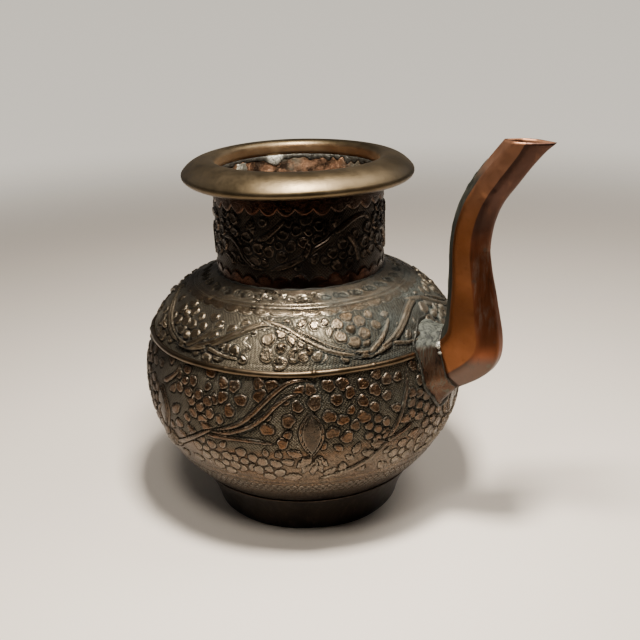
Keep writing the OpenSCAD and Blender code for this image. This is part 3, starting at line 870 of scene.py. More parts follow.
def make_shoulder():
    relief, normals, profile = shoulder_relief()
    angles = np.linspace(COLLAR_ANGLE, GIRDLE_ANGLE, 9)
    arc_part, _ = arc(SHOULDER_CENTRE, SHOULDER_ARC - SHEET, angles)
    inner = np.vstack([[[NECK_R + 0.4, COLLAR_Z - SHEET]], arc_part])
    return chased_shell("shoulder_chased", relief, normals, inner, shoulder_finish(relief), -0.15)


# ---- Neck ----
NECK_COLUMNS = 560
NECK_ROSETTES = [
    (126.0, 146.0, 6.6, 5, 3.1, 2.6, 90), (36.0, 148.6, 6.2, 5, 2.9, 2.5, 60), (84.6, 156.2, 5.6, 5, 2.7, 2.2, 80),
    (104.0, 149.6, 5.8, 5, 2.8, 2.2, 40), (62.0, 143.0, 5.6, 5, 2.7, 2.2, 90), (143.0, 157.0, 5.6, 5, 2.7, 2.2, 70),
]
NECK_DISCS = [
    (97.0, 161.0, 2.4), (74.0, 141.6, 2.3), (114.0, 140.6, 2.2), (139.0, 141.6, 2.4), (114.0, 160.6, 2.3), (52.0, 152.0, 2.4), (44.0, 141.0, 2.2),
    (92.0, 139.2, 2.0),
]
NECK_STEMS = [
    [(110.0, 137.0), (103.0, 138.6), (97.0, 140.2), (88.5, 143.6), (79.5, 148.0), (72.0, 151.0), (67.0, 154.4), (60.0, 158.4)],
    [(88.0, 143.8), (85.0, 147.4), (84.0, 151.0)],
    [(67.0, 154.0), (61.0, 156.8), (53.0, 159.6), (44.0, 160.4), (38.0, 157.4)],
    [(58.0, 153.0), (54.0, 149.0), (51.0, 144.0), (50.0, 138.0)],
    [(149.0, 150.0), (141.0, 151.0), (134.0, 147.6), (129.0, 142.0), (122.0, 138.0), (114.0, 137.0)],
    [(118.0, 151.6), (112.0, 153.4), (105.0, 157.6), (99.0, 162.0)],
    [(138.0, 137.4), (143.0, 141.0), (149.0, 142.6)],
]
NECK_LEAVES = [
    ((124.0, 153.0), (122.0, 162.0), 5.4, 5), ((75.0, 151.4), (73.0, 161.6), 5.0, 5), ((67.6, 157.0), (64.0, 164.0), 4.4, 4), ((99.0, 141.0), (104.0, 143.8), 3.8, 4),
    ((80.0, 146.4), (82.4, 139.0), 4.0, 4), ((55.0, 150.8), (47.0, 149.0), 4.2, 4), ((112.0, 153.0), (108.0, 148.0), 3.8, 4), ((133.0, 158.0), (137.0, 163.0), 4.0, 4),
]


def neck_relief():
    z = np.concatenate([[COLLAR_Z - 2.6], np.linspace(COLLAR_Z + 0.2, 172.0, 78), [174.0, NECK_TOP_Z - 0.3]])
    bulge = 0.35 * np.sin((z - COLLAR_Z) / (172 - COLLAR_Z) * math.pi)
    profile = np.stack([NECK_R - 0.1 + bulge, z], 1)
    normals = np.repeat([[1.0, 0.0]], len(z), 0)
    relief = Relief(NECK_COLUMNS, profile)
    rng = np.random.default_rng(29)
    for copy in range(3):
        shift = 120.0 * copy
        loose = 0.0 if copy == 0 else 1.0
        for a, b, width, teeth in NECK_LEAVES:
            relief.leaf((a[0] + shift, a[1]), (b[0] + shift, b[1]), width, 0.95, teeth)
        for p, zz, r in NECK_DISCS:
            relief.disc(p + shift + loose * jitter(rng, 1.5), zz + loose * jitter(rng, 0.6), r, 0.7, wide=1.1, turn=rng.uniform(0, 180), dome=0.0, dish=0.6)
        for p, zz, radius, petals, petal, centre, start in NECK_ROSETTES:
            relief.rosette(p + shift + loose * jitter(rng, 1.5), zz, radius, petals, petal, centre, start, 0.8, 0.0, 0.6, 0.0)
        for points in NECK_STEMS:
            relief.stem([(p + shift + loose * jitter(rng, 1), zz + loose * jitter(rng, 0.5)) for p, zz in points], 2.9, 1.0, 0.3)
    relief.scallops(166.6, 31, 3.1, True, 0.45, 139.0 - 6 * 11.613, seed=9, pointed=0.8)
    relief.scallops(131.4, 31, 3.2, False, 0.35, 97.0 - 11.613, seed=10, pointed=0.8)
    return relief, normals, profile


def neck_finish(relief):
    phi = np.radians(relief.phi)[None, :]
    z = relief.z[:, None]
    cloud = waves(41, 9, phi, relief.s[:, None], 100, 24)
    bands = smoothstep(z, 163, 167) + smoothstep(z, 136, 132)
    wear_and_painted_light = 0.05 + 0.10 * smoothstep(z, 163, 167) + 0.06 * cloud
    green = 0.15 + 0.15 * waves(42, 7, phi, relief.s[:, None], 80, 20) - 0.2 * bands
    # The neck is darkened all over: partly dark patina, partly a painted reflection of the dark room in front
    soot_and_painted_shade = 0.7 - 0.3 * bands + 0.2 * waves(43, 7, phi, relief.s[:, None], 80, 24)
    return np.clip(np.stack(np.broadcast_arrays(wear_and_painted_light, green, soot_and_painted_shade), 2), 0, 1)


def make_neck():
    relief, normals, profile = neck_relief()
    inner_r = NECK_R - SHEET
    zs = np.linspace(NECK_TOP_Z - 0.3, COLLAR_Z - 2.6, 22)
    inner = np.stack([np.full(len(zs), inner_r), zs], 1)
    return chased_shell("neck_chased", relief, normals, inner, neck_finish(relief), -0.1)


# ---- Copper with chased work and patina ----
def chased_copper(name, raised, ground, bright, dark, hatch=1.6, shine=0.24, even=0.0, dull=0.30, border=None):
    """Metal whose colour, gloss and fine bump follow the chased edges: grooves darkened partly with painted shade,
    edges brightened partly by rubbing and partly with painted highlights, a punched ground.
    """
    m, g, shader = material(name)
    edge = g.attribute("edge")
    kind = g.attribute("kind")
    height = g.attribute("relief")
    u, v, _ = g.split(g.attribute("chart", True))
    wear_and_painted_light, green, soot_and_painted_shade = g.split(g.attribute("finish", True))
    at = g.place()
    grain = g.noise(at, 260.0, 4.0, 0.6)
    cloud = g.noise(at, 46.0, 4.0, 0.6)
    fleck = g.noise(at, 520.0, 2.0, 0.7)
    patchy = g.noise(at, 190.0, 2.0, 0.5)
    # Thin wandering creases left by the chasing tools; their colour is darkened below as painted shade
    crease = g.noise(g.stretch(at, (1.0, 1.0, 1.7)), 230.0, 3.0, 0.6, 1.6)
    crease = g.ramp(g.math("ABSOLUTE", g.add(crease, -0.5)), 0.032, 0.0)
    # Where the bare ground shows, and the groove round each motif
    open_ground = g.ramp(edge, -0.35, -0.75)
    groove = g.mul(g.ramp(edge, -0.75, -0.30), g.ramp(edge, 0.12, -0.22))
    lip = g.mul(g.ramp(edge, -0.10, 0.15), g.ramp(edge, 0.72, 0.30))
    # Rows of small punch dots, skewed a little so that they don't line up too well
    wander = g.mul(g.add(cloud, -0.5), 2.4)
    dots_u = g.math("SINE", g.mul(g.add(u, wander), TAU / hatch))
    dots_v = g.math("SINE", g.mul(g.add(v, g.mul(wander, 0.6)), TAU / hatch))
    dots = g.mul(g.ramp(g.mul(dots_u, dots_v), -0.2, 0.6), open_ground)
    # Colour
    tone = g.ramp(cloud, 0.30, 0.72)
    metal = g.mix(g.mul(tone, 0.22), raised, bright)
    metal = g.mix(g.ramp(patchy, 0.45, 0.68, 0.0, 0.45), metal, dark)
    almond = g.mul(g.ramp(kind, 0.50, 0.54), g.ramp(kind, 0.62, 0.58))
    metal = g.mix(g.mul(almond, 0.75), metal, dark)
    metal = g.mix(g.mul(g.ramp(grain, 0.48, 0.75), 0.55), metal, dark)
    low = g.mix(g.ramp(cloud, 0.25, 0.55, 0.5, 1.0), dark, ground)
    hatched = g.mix(g.ramp(dots, 0.15, 0.85), g.mix(0.38, ground, bright), dark)
    low = g.mix(g.mul(open_ground, g.blend(g.ramp(wear_and_painted_light, 0.12, 0.34), 0.9, 0.9 - 0.75 * even)), low, hatched)
    low = g.mix(g.ramp(wear_and_painted_light, 0.14, 0.34, 0.0, even), low, metal)
    up = g.ramp(edge, -0.30, 0.15)
    colour = g.mix(up, low, metal)
    # The lip round each motif is brightened: partly rubbed metal, partly a painted highlight
    colour = g.mix(g.mul(lip, g.add(0.45, g.mul(wear_and_painted_light, 0.6)), True), colour, bright)
    # Raised parts are brightened by the rubbing share, which on the bowl also carries the painted reflection of the
    # floor
    colour = g.mix(g.mul(g.mul(wear_and_painted_light, g.ramp(height, -0.25, 0.45, 0.7, 1.0)), 0.75), colour, bright)
    # Grooves and low spots are darkened: partly patina in the hollows, partly painted shade
    sunk = g.math("MAXIMUM", groove, g.ramp(height, -0.18, -0.45))
    colour = g.mix(g.mul(sunk, g.ramp(wear_and_painted_light, 0.36, 0.58, 0.8, 0.48)), colour, tuple(c * 0.6 for c in dark))
    # Darkened along the creases: painted shade
    colour = g.mix(g.mul(crease, g.blend(up, 0.55, 0.3)), colour, tuple(c * 0.6 for c in dark))
    patch = g.mul(green, g.ramp(g.add(cloud, g.mul(fleck, 0.25)), 0.45, 0.85, 0.35, 1.0), True)
    scratch = g.noise(g.stretch(at, (1.0, 1.0, 0.5)), 330.0, 4.0, 0.7, 2.0)
    verdigris = g.mix(g.ramp(scratch, 0.40, 0.62), (0.020, 0.027, 0.023), (0.088, 0.104, 0.090))
    colour = g.mix(g.mul(patch, g.ramp(height, 0.9, 0.0, 0.45, 1.0)), colour, verdigris)
    black = g.mul(soot_and_painted_shade, g.ramp(height, 1.1, 0.1, 0.55, 1.0), True)
    colour = g.mix(black, colour, (0.014, 0.011, 0.009))
    if border:
        band = g.mul(g.ramp(kind, 0.85, 0.95), g.ramp(kind, 1.15, 1.05))
        colour = g.mix(g.mul(band, g.ramp(cloud, 0.38, 0.58, 0.25, 1.0)), colour, border)
    # The plain inside: mottled copper with tarnish and green spots
    blotch = g.noise(at, 150.0, 3.0, 0.7)
    inside = g.ramp(kind, 1.4, 1.8)
    liner = g.mix(g.ramp(blotch, 0.36, 0.62), (0.052, 0.034, 0.023), (0.36, 0.20, 0.115))
    liner = g.mix(g.mul(g.ramp(cloud, 0.48, 0.62), 0.8), liner, (0.16, 0.16, 0.12))
    liner = g.mix(g.ramp(fleck, 0.62, 0.78, 0.0, 0.7), liner, (0.035, 0.028, 0.022))
    colour = g.mix(inside, colour, liner)
    # Gloss
    matted = g.mul(g.blend(up, 0.16, 0.0), g.ramp(wear_and_painted_light, 0.14, 0.34, 1.0, 1.0 - even))
    rough = g.add(g.add(shine, matted), g.mul(g.add(grain, -0.5), 0.22))
    rough = g.add(g.add(rough, g.mul(patch, 0.22)), g.mul(soot_and_painted_shade, dull))
    rough = g.math("ADD", rough, g.add(g.mul(groove, 0.2), g.mul(inside, 0.22)), True)
    metallic = g.mul(g.ramp(g.add(patch, g.mul(groove, 0.5)), 0.1, 1.1, 1.0, 0.45), g.blend(g.mul(up, even), 1.0, 0.86))
    # Fine bump, in mm
    bump = g.add(g.mul(groove, -0.4), g.mul(dots, g.ramp(wear_and_painted_light, 0.15, 0.38, -0.34, -0.34 + 0.25 * even)))
    bump = g.add(bump, g.mul(g.add(grain, -0.5), 0.07))
    bump = g.add(bump, g.mul(crease, -0.06))
    bump = g.add(bump, g.mul(g.add(fleck, -0.5), 0.03))
    bump = g.add(bump, g.mul(g.mul(scratch, green), 0.55))
    finish_shader(g, shader, colour, rough, metallic, g.bump(bump, 1.0))
    return m


bowl_copper = chased_copper("bowl_copper", (0.078, 0.032, 0.009), (0.042, 0.032, 0.018), (0.165, 0.142, 0.110), (0.012, 0.011, 0.008), even=0.85)
shoulder_copper = chased_copper("shoulder_copper", (0.085, 0.050, 0.022), (0.066, 0.058, 0.039), (0.27, 0.225, 0.160), (0.015, 0.014, 0.011))
# Near-black neck colours: partly dark patina, partly a painted reflection of the dark room in front
neck_copper = chased_copper("neck_copper", (0.016, 0.009, 0.006), (0.011, 0.009, 0.007), (0.26, 0.19, 0.14), (0.006, 0.005, 0.004), shine=0.23, dull=0.0, border=(0.044, 0.019, 0.011))


def place_piece(obj, materials, slot, *nodes):
    for m in materials:
        obj.data.materials.append(m)
    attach(obj, root_body)
    if nodes:
        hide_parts(*nodes)
    return obj


# ---- Turned rim ----
def revolve(name, rows, columns, moved=None):
    """A closed ring from a closed loop of [radius, height] rows. moved(angles, rows) returns offsets in radius and height."""
    rows = np.asarray(rows, float)
    angles = np.arange(columns) * TAU / columns
    r = np.repeat(rows[:, :1], columns, 1)
    z = np.repeat(rows[:, 1:], columns, 1)
    if moved is not None:
        dr, dz = moved(angles[None, :], rows)
        r, z = r + dr, z + dz
    points = np.stack([r * np.cos(angles), r * np.sin(angles), z], 2).reshape(-1, 3)
    faces = shell_faces(len(rows), columns, True)[:, ::-1]
    return mesh_object(name, points, faces.tolist())


def arc_rows(centre, radius, start, end, count):
    return arc(centre, radius, np.radians(np.linspace(start, end, count)))[0]


def make_rim():
    crest_r, nose_r = 3.5, 2.6
    under = rim_low[2]
    nose = np.array([RIM_R - nose_r, under + nose_r])
    crest = np.array([THROAT_R + crest_r, RIM_Z - crest_r])
    run, fall = nose[0] - crest[0], RIM_Z - nose[1]
    top_arc = (run * run + fall * fall - nose_r * nose_r) / (2 * (fall - nose_r))
    nose_angle = math.degrees(math.atan2(top_arc - fall, run))
    rows = np.concatenate([
        [[NECK_R + 0.3, under + 0.5], [NECK_R - 0.2, NECK_TOP_Z - 0.2], [THROAT_R, NECK_TOP_Z - 0.2], [THROAT_R, NECK_TOP_Z + 1.4]],
        arc_rows(crest, crest_r, 180, 90, 10),
        arc_rows((crest[0], RIM_Z - top_arc), top_arc, 86, nose_angle, 14),
        arc_rows(nose, nose_r, nose_angle - 10, -80, 11),
        [[RIM_R - nose_r - 3.0, under + 0.05], [NECK_R + 3.0, under + 0.1]],
    ])[::-1]

    def uneven(angles, rows):
        out = smoothstep(rows[:, :1], THROAT_R + 1, RIM_R)
        dz = 0.28 * out * waves(51, 4, angles, 0.0 * rows[:, 1:], 300, 90)
        dr = 0.30 * out * waves(52, 5, angles, 0.05 * rows[:, 1:], 300, 70)
        dent = 0.5 * np.exp(-(((angles - 1.9) / 0.07) ** 2)) * out
        return dr - dent, dz

    return revolve("rim_turned", rows, 288, uneven)


# ---- Foot ring ----
def make_foot():
    t = np.linspace(0, 1, 20)
    r = FOOT_R + (FOOT_TOP_R - FOOT_R) * t - 4.8 * t * (1 - t)
    z = FOOT_H * t
    keep = np.hypot(r - BOWL_CENTRE[0], z - BELLY_Z) > BOWL_ARC - 0.8
    outer = np.stack([r, z], 1)[keep]
    inner = (outer - [1.8, 0])[::-1]
    lip = [[FOOT_R + 0.15, 0.9], [FOOT_R - 0.15, 0.15], [FOOT_R - 0.7, 0.0], [FOOT_R - 1.3, 0.05], [FOOT_R - 1.8, 0.5]]
    rows = np.concatenate([lip[:3][::-1], outer[1:], inner[:-1], lip[:2:-1]])[::-1]

    def uneven(angles, rows):
        low = smoothstep(rows[:, 1:], 18, 4)
        dr = 0.28 * low * waves(61, 5, angles, 0.04 * rows[:, 1:], 300, 60)
        return dr, 0 * dr

    obj = revolve("foot_flared", rows[::-1], 240, uneven)
    return obj


# ---- Spout and socket, lofted from eight-sided sections ----
# A section is inner x, inner z, outer x, outer z, width, narrow flat, inner bevel share and outer bevel share.
LEG_LEAN = math.radians(4.2)
BEND_R, BEND_TURN = 55.0, 38.0
LEG_FOOT, LEG_TOP_Z = np.array([98.5, 117.0]), 148.0
DEPTH_AT = ([117, 126, 138, 148, 160, 175, 200], [25.6, 23.6, 21.3, 20, 19.3, 18, 16.2])
WIDTH_AT = ([117, 130, 150, 177, 200], [17.4, 15, 12.8, 11.6, 10.6])
FLAT_AT = ([117, 130, 150, 200], [6, 4.2, 2.6, 1.6])
HEEL_SECTIONS = [
    [84.2, 109.5, 92.6, 79.7, 19.6, 6.6, 0.22, 0.24],
    [84.5, 110.6, 103.6, 86.7, 19.4, 6.6, 0.21, 0.26],
    [84.9, 111.9, 110.8, 94.5, 19.0, 6.5, 0.21, 0.25],
    [85.2, 113.3, 113.5, 103.2, 18.4, 6.4, 0.21, 0.23],
]
SOCKET_ROOT = np.array([60, 111.3, 75.4, 60, 42, 8, 0.18, 0.34])
MOUTH_Z = spout_high[2]


def section_at(middle, direction):
    z = middle[1]
    depth, width, flat = (float(np.interp(z, *table)) for table in (DEPTH_AT, WIDTH_AT, FLAT_AT))
    side = np.array([-math.sin(direction), math.cos(direction)])
    bevel = (width - flat) / 2 / depth
    return [*(middle + side * depth / 2), *(middle - side * depth / 2), width, flat, bevel, bevel]


def thinned(s, depth):
    """A section with its outline drawn in all round."""
    inner, outer = np.array(s[:2]), np.array(s[2:4])
    long = np.linalg.norm(outer - inner)
    along = (outer - inner) / long
    span = long - 2 * depth
    return np.array([*(inner + along * depth), *(outer - along * depth), s[4] - 2 * depth, max(s[5] - 0.83 * depth, 0.5),
                     (s[6] * long - 0.585 * depth) / span, (s[7] * long - 0.585 * depth) / span])


def smooth_sections(sections, steps):
    """Sections in between, on smooth curves through the given ones."""
    p = np.asarray(sections, float)
    full = np.vstack([2 * p[0] - p[1], p, 2 * p[-1] - p[-2]])
    out = []
    for i in range(1, len(full) - 2):
        a, b, c, d = full[i - 1 : i + 3]
        t = (np.arange(steps) / steps)[:, None]
        out.append(0.5 * (2 * b + (c - a) * t + (2 * a - 5 * b + 4 * c - d) * t**2 + (3 * b - a - 3 * c + d) * t**3))
    out.append(p[-1:])
    return np.vstack(out)


def spout_sections():
    leg_top = LEG_FOOT + (LEG_TOP_Z - LEG_FOOT[1]) * np.array([-math.tan(LEG_LEAN), 1])
    leg = [section_at(LEG_FOOT + (leg_top - LEG_FOOT) * i / 5, math.pi / 2 + LEG_LEAN) for i in range(6)]
    centre = leg_top + [BEND_R, 0]
    bend = []
    for i in range(1, 13):
        turn = math.radians(BEND_TURN * i / 12)
        bend.append(section_at(centre + BEND_R * np.array([-math.cos(turn), math.sin(turn)]), math.pi / 2 - turn))
    last = np.array(bend[-1])
    run = np.array([math.sin(math.radians(BEND_TURN)), math.cos(math.radians(BEND_TURN))])
    inner = last[:2] + run * (MOUTH_Z - last[1]) / run[1]
    outer = last[2:4] + run * (MOUTH_Z - last[3]) / run[1]
    width = float(np.interp(MOUTH_Z, *WIDTH_AT))
    flat = float(np.interp(MOUTH_Z, *FLAT_AT))
    beak = [*(last[:2] + (inner - last[:2]) * 0.5), *(last[2:4] + (outer - last[2:4]) * 0.7), width, flat, 0.28, 0.32]
    mouth = [*inner, *(outer + [1.6, 0]), width, 1.2, 0.28, 0.42]
    body = smooth_sections(HEEL_SECTIONS + leg + bend, 5)
    return np.vstack([body[:-1], smooth_sections([bend[-1], beak, mouth], 5)])


EDGE_POINTS, CORNER_POINTS = 5, 4


def section_ring(s, round_by):
    """Points round one section with rounded corners, and each point's facet number, 0 on the inner flat."""
    inner, outer = np.array([s[0], 0, s[1]]), np.array([s[2], 0, s[3]])
    depth = np.linalg.norm(outer - inner)
    along = (outer - inner) / depth
    w, f = s[4] / 2, s[5] / 2
    a, b = s[6] * depth, depth - s[7] * depth
    corners = np.array([(0, f), (0, -f), (a, -w), (b, -w), (depth, -f), (depth, f), (b, w), (a, w)])
    points, facets = [], []
    count = len(corners)
    for i in range(count):
        prev, here, nxt = corners[i - 1], corners[i], corners[(i + 1) % count]
        back, ahead = prev - here, nxt - here
        cut = min(round_by, 0.4 * np.linalg.norm(back), 0.4 * np.linalg.norm(ahead))
        p = here + back / np.linalg.norm(back) * cut
        q = here + ahead / np.linalg.norm(ahead) * cut
        for k in range(CORNER_POINTS):
            t = k / (CORNER_POINTS - 1)
            points.append((1 - t) ** 2 * p + 2 * t * (1 - t) * here + t * t * q)
            facets.append(i)
        after = corners[(i + 2) % count] - nxt
        end_cut = min(round_by, 0.4 * np.linalg.norm(nxt - here), 0.4 * np.linalg.norm(after))
        stop = nxt - ahead / np.linalg.norm(ahead) * end_cut
        for k in range(1, EDGE_POINTS):
            points.append(q + (stop - q) * k / EDGE_POINTS)
            facets.append(i)
    points = np.array(points)
    return inner + points[:, :1] * along + np.stack([np.zeros(len(points)), points[:, 1], np.zeros(len(points))], 1), np.array(facets)


def loft_rings(sections, round_by):
    return np.array([section_ring(s, round_by)[0] for s in sections])


def ring_normals(rings):
    """Outward normals of a loft's points."""
    across = np.roll(rings, -1, 1) - np.roll(rings, 1, 1)
    along = np.gradient(rings, axis=0)
    n = np.cross(across, along)
    n /= np.maximum(np.linalg.norm(n, axis=2, keepdims=True), 1e-9)
    out = rings - rings.mean(1, keepdims=True)
    return n * np.sign((n * out).sum(2).mean())


def tube_object(name, outer, inner):
    """A closed tube between an outer and an inner skin, each rings by points."""
    count = outer.shape[1]
    points = np.concatenate([outer, inner[::-1]]).reshape(-1, 3)
    faces = shell_faces(len(outer) + len(inner), count, True).tolist()
    obj = mesh_object(name, points, faces)
    tidy = bmesh.new()
    tidy.from_mesh(obj.data)
    bmesh.ops.recalc_face_normals(tidy, faces=tidy.faces)
    tidy.to_mesh(obj.data)
    tidy.free()
    return obj


SPOUT_SHEET = 1.2
SPOUT_DENTS = [((105.3, -5.9, 174.7), 1.9, 0.45), ((109.8, -5.8, 179.8), 1.3, 0.40), ((97.6, -7.0, 133.0), 5.0, 0.22), ((101.0, -8.6, 121.0), 6.5, 0.25), ((93.0, -8.0, 126.0), 4.5, 0.2), ((96.0, 6.6, 150.0), 6.0, 0.25)]


def make_spout():
    sections = spout_sections()
    outer = loft_rings(sections, 1.5)
    normals = ring_normals(outer)
    rng = np.random.default_rng(71)
    push = np.zeros(outer.shape[:2])
    for _ in range(26):
        way = rng.normal(size=3) * 0.20
        push += 0.035 * np.sin(outer @ way + rng.uniform(0, TAU))
    for at, size, depth in SPOUT_DENTS:
        push -= depth * np.exp(-(np.linalg.norm(outer - at, axis=2) / size) ** 2)
    fade = smoothstep(outer[:, :, 2], MOUTH_Z - 0.5, MOUTH_Z - 6)
    outer = outer + normals * (push * fade)[:, :, None]
    inner = loft_rings([thinned(s, SPOUT_SHEET) for s in sections], 1.0)
    obj = tube_object("spout_bent", outer, inner)
    facet = section_ring(sections[0], 1.5)[1]
    along = np.linspace(0, 1, len(sections))
    values = np.concatenate([np.tile(facet, (len(sections), 1)), np.full(inner.shape[:2], 9)]).ravel()
    add_values(obj, "facet", values)
    length = np.concatenate([np.repeat(along[:, None], outer.shape[1], 1), np.repeat(along[::-1, None], outer.shape[1], 1)]).ravel()
    add_values(obj, "along", length)
    return obj


def outside_belly(points):
    """Signed distance from the belly's outer surface, in mm."""
    r = np.hypot(points[..., 0], points[..., 1])
    z = points[..., 2]
    low = np.hypot(r - BOWL_CENTRE[0], z - BOWL_CENTRE[1]) - BOWL_ARC
    high = np.hypot(r - SHOULDER_CENTRE[0], z - SHOULDER_CENTRE[1]) - SHOULDER_ARC
    return np.where(np.arctan2(z - BOWL_CENTRE[1], r - BOWL_CENTRE[0]) < GIRDLE_ANGLE, low, high)


def belly_normal(points):
    step = 0.01
    return np.stack([(outside_belly(points + step * np.eye(3)[i]) - outside_belly(points)) / step for i in range(3)], -1)


def socket_skin(depth, sink, count, round_by):
    """Rings of the socket's skin from just under the belly's surface out to its end."""
    root = section_ring(thinned(SOCKET_ROOT, depth) if depth else SOCKET_ROOT, 5.0)[0]
    end_section = thinned(np.array(HEEL_SECTIONS[0]), 0.5 + depth)
    end = section_ring(end_section, round_by)[0]
    low, high = np.zeros(len(root)), np.ones(len(root))
    for _ in range(30):
        t = (low + high) / 2
        out = outside_belly(root + (end - root) * t[:, None]) > sink
        high = np.where(out, t, high)
        low = np.where(out, low, t)
    t = low[None, :] + (1 - low[None, :]) * np.linspace(0, 1, count)[:, None]
    return root + (end - root) * t[:, :, None], root, end


def make_socket():
    outer, _, _ = socket_skin(0.0, -0.8, 22, 1.8)
    inner, _, _ = socket_skin(1.6, -0.8, 8, 1.2)
    normals = ring_normals(outer)
    t = np.linspace(0, 1, len(outer))[:, None]
    rng = np.random.default_rng(73)
    push = np.zeros(outer.shape[:2])
    for _ in range(18):
        push += 0.06 * np.sin(outer @ (rng.normal(size=3) * 0.28) + rng.uniform(0, TAU))
    # The sheet is pulled in a little along its middle, between the belly and the spout
    push -= 0.55 * np.sin(math.pi * t)
    outer = outer + normals * (push * smoothstep(t, 1.0, 0.85))[:, :, None]
    return tube_object("socket_folded", outer, inner)


def bead(name, line, up, out, sizes, points=10):
    """A closed uneven bead along a closed line. up and out are unit directions, and sizes its two half-widths."""
    a = np.arange(points) * TAU / points
    rings = line[:, None, :] + up[:, None, :] * (sizes[0][:, None] * np.cos(a))[:, :, None] + out[:, None, :] * (sizes[1][:, None] * np.sin(a))[:, :, None]
    count = len(line)
    faces = shell_faces(count, points, True).tolist()
    obj = mesh_object(name, rings.reshape(-1, 3), faces)
    tidy = bmesh.new()
    tidy.from_mesh(obj.data)
    bmesh.ops.recalc_face_normals(tidy, faces=tidy.faces)
    tidy.to_mesh(obj.data)
    tidy.free()
    return obj


def unit(v):
    return v / np.maximum(np.linalg.norm(v, axis=-1, keepdims=True), 1e-9)


def closed_noise(seed, count, waves_count=9, top=12):
    rng = np.random.default_rng(seed)
    t = np.arange(count) * TAU / count
    total = sum(np.sin(rng.integers(1, top) * t + rng.uniform(0, TAU)) for _ in range(waves_count))
    return total / math.sqrt(waves_count)


def dense_loop(points, count):
    """The same closed line with evenly spaced points."""
    closed = np.vstack([points, points[:1]])
    gap = np.linalg.norm(np.diff(closed, axis=0), axis=1)
    s = np.concatenate([[0], np.cumsum(gap)])
    at = np.arange(count) * s[-1] / count
    return np.stack([np.interp(at, s, closed[:, i]) for i in range(3)], 1)


def make_socket_solder():
    rings, root, end = socket_skin(0.0, 0.0, 4, 1.8)
    line = dense_loop(rings[0], 260)
    skin_way = unit(dense_loop(end, 260) - dense_loop(root, 260))
    n = unit(belly_normal(line))
    middle = line.mean(0)
    out = unit(line - middle)
    side = unit(out - n * (out * n).sum(1, keepdims=True))
    width = 1.7 + 0.45 * closed_noise(81, 260, 9, 20)
    thick = 0.75 + 0.22 * closed_noise(82, 260, 12, 40)
    return bead("socket_solder_run", line + side * 0.5, side * 0.85 + skin_way * 0.25, n, (np.maximum(width, 0.8), np.maximum(thick, 0.35)))


# Lumps of solder round the end of the spout, as a point and a size
SPOUT_LUMPS = [((83.4, -9.0, 109.5), 2.4), ((85.0, -9.8, 105.5), 1.7), ((86.2, -9.9, 103.2), 1.9), ((84.4, -5.0, 110.6), 2.0), ((87.2, -9.9, 99.4), 1.0),
               ((83.6, 8.8, 109.0), 2.2), ((86.0, 9.9, 103.8), 1.6)]


def make_spout_solder():
    count = 300
    ring = section_ring(thinned(np.array(HEEL_SECTIONS[0]), 0.2), 1.8)[0]
    line = dense_loop(ring, count)
    tangent = unit(np.roll(line, -1, 0) - np.roll(line, 1, 0))
    out = unit(line - line.mean(0))
    out = unit(out - tangent * (out * tangent).sum(1, keepdims=True))
    up = unit(np.cross(tangent, out))
    back = np.array([-0.96, 0, -0.27])
    up = up * np.sign((up @ back))[:, None]
    size = 0.42 + 0.10 * closed_noise(84, count, 9, 30)
    lump = np.zeros(count)
    for at, big in SPOUT_LUMPS:
        lump = np.maximum(lump, (big * 0.5) * np.exp(-((np.linalg.norm(line - at, axis=1) / (0.85 * big)) ** 2)))
    lump *= 1 + 0.35 * closed_noise(85, count, 9, 60)
    size = np.maximum(size, 0.25)
    obj = bead("spout_solder_run", line + up * (0.45 + lump * 0.5)[:, None] + out * (0.1 * lump)[:, None], up, out, (size + lump * 1.25, size * 0.8 + lump * 0.55), 12)
    add_values(obj, "pale", np.repeat(np.clip(lump, 0, 1), 12))
    return obj


def make_spout_seam():
    """A low uneven bead of solder down the facet that faces the neck."""
    sections = spout_sections()
    first, last = 5 * 3, len(sections) - 7
    s = sections[first:last]
    count = len(s)
    rng = np.random.default_rng(87)
    t = np.arange(count)
    uneven = sum(np.sin(rng.uniform(0.05, 0.9) * t + rng.uniform(0, TAU)) for _ in range(8)) / 3
    inner, outer = s[:, :2], s[:, 2:4]
    out2 = unit(inner - outer)
    half = s[:, 5] * 0.42 * (1 + 0.10 * uneven)
    high = 0.5 * (1 + 0.25 * uneven)
    shape = [(1.0, -0.15), (0.85, 0.45), (0.5, 0.85), (0.0, 1.0), (-0.5, 0.85), (-0.85, 0.45), (-1.0, -0.15), (-0.6, -1.0), (0.6, -1.0)]
    rings = []
    for across, up in shape:
        p = inner + out2 * (high * up)[:, None]
        rings.append(np.stack([p[:, 0], across * half, p[:, 1]], 1))
    rings = np.stack(rings, 1)
    points = rings.reshape(-1, 3)
    n = len(shape)
    faces = shell_faces(count, n, False).tolist()
    faces += [tuple(range(n)), tuple(reversed([(count - 1) * n + i for i in range(n)]))]
    obj = mesh_object("spout_seam_run", points, faces)
    tidy = bmesh.new()
    tidy.from_mesh(obj.data)
    bmesh.ops.recalc_face_normals(tidy, faces=tidy.faces)
    tidy.to_mesh(obj.data)
    tidy.free()
    return obj


# ---- Girdle wire, round the joint of bowl and shoulder ----
GIRDLE_R = BOWL_CENTRE[0] + BOWL_ARC * math.cos(GIRDLE_ANGLE)
WIRE_R = 1.5
SOCKET_HALF_ANGLE = math.radians(12.5)


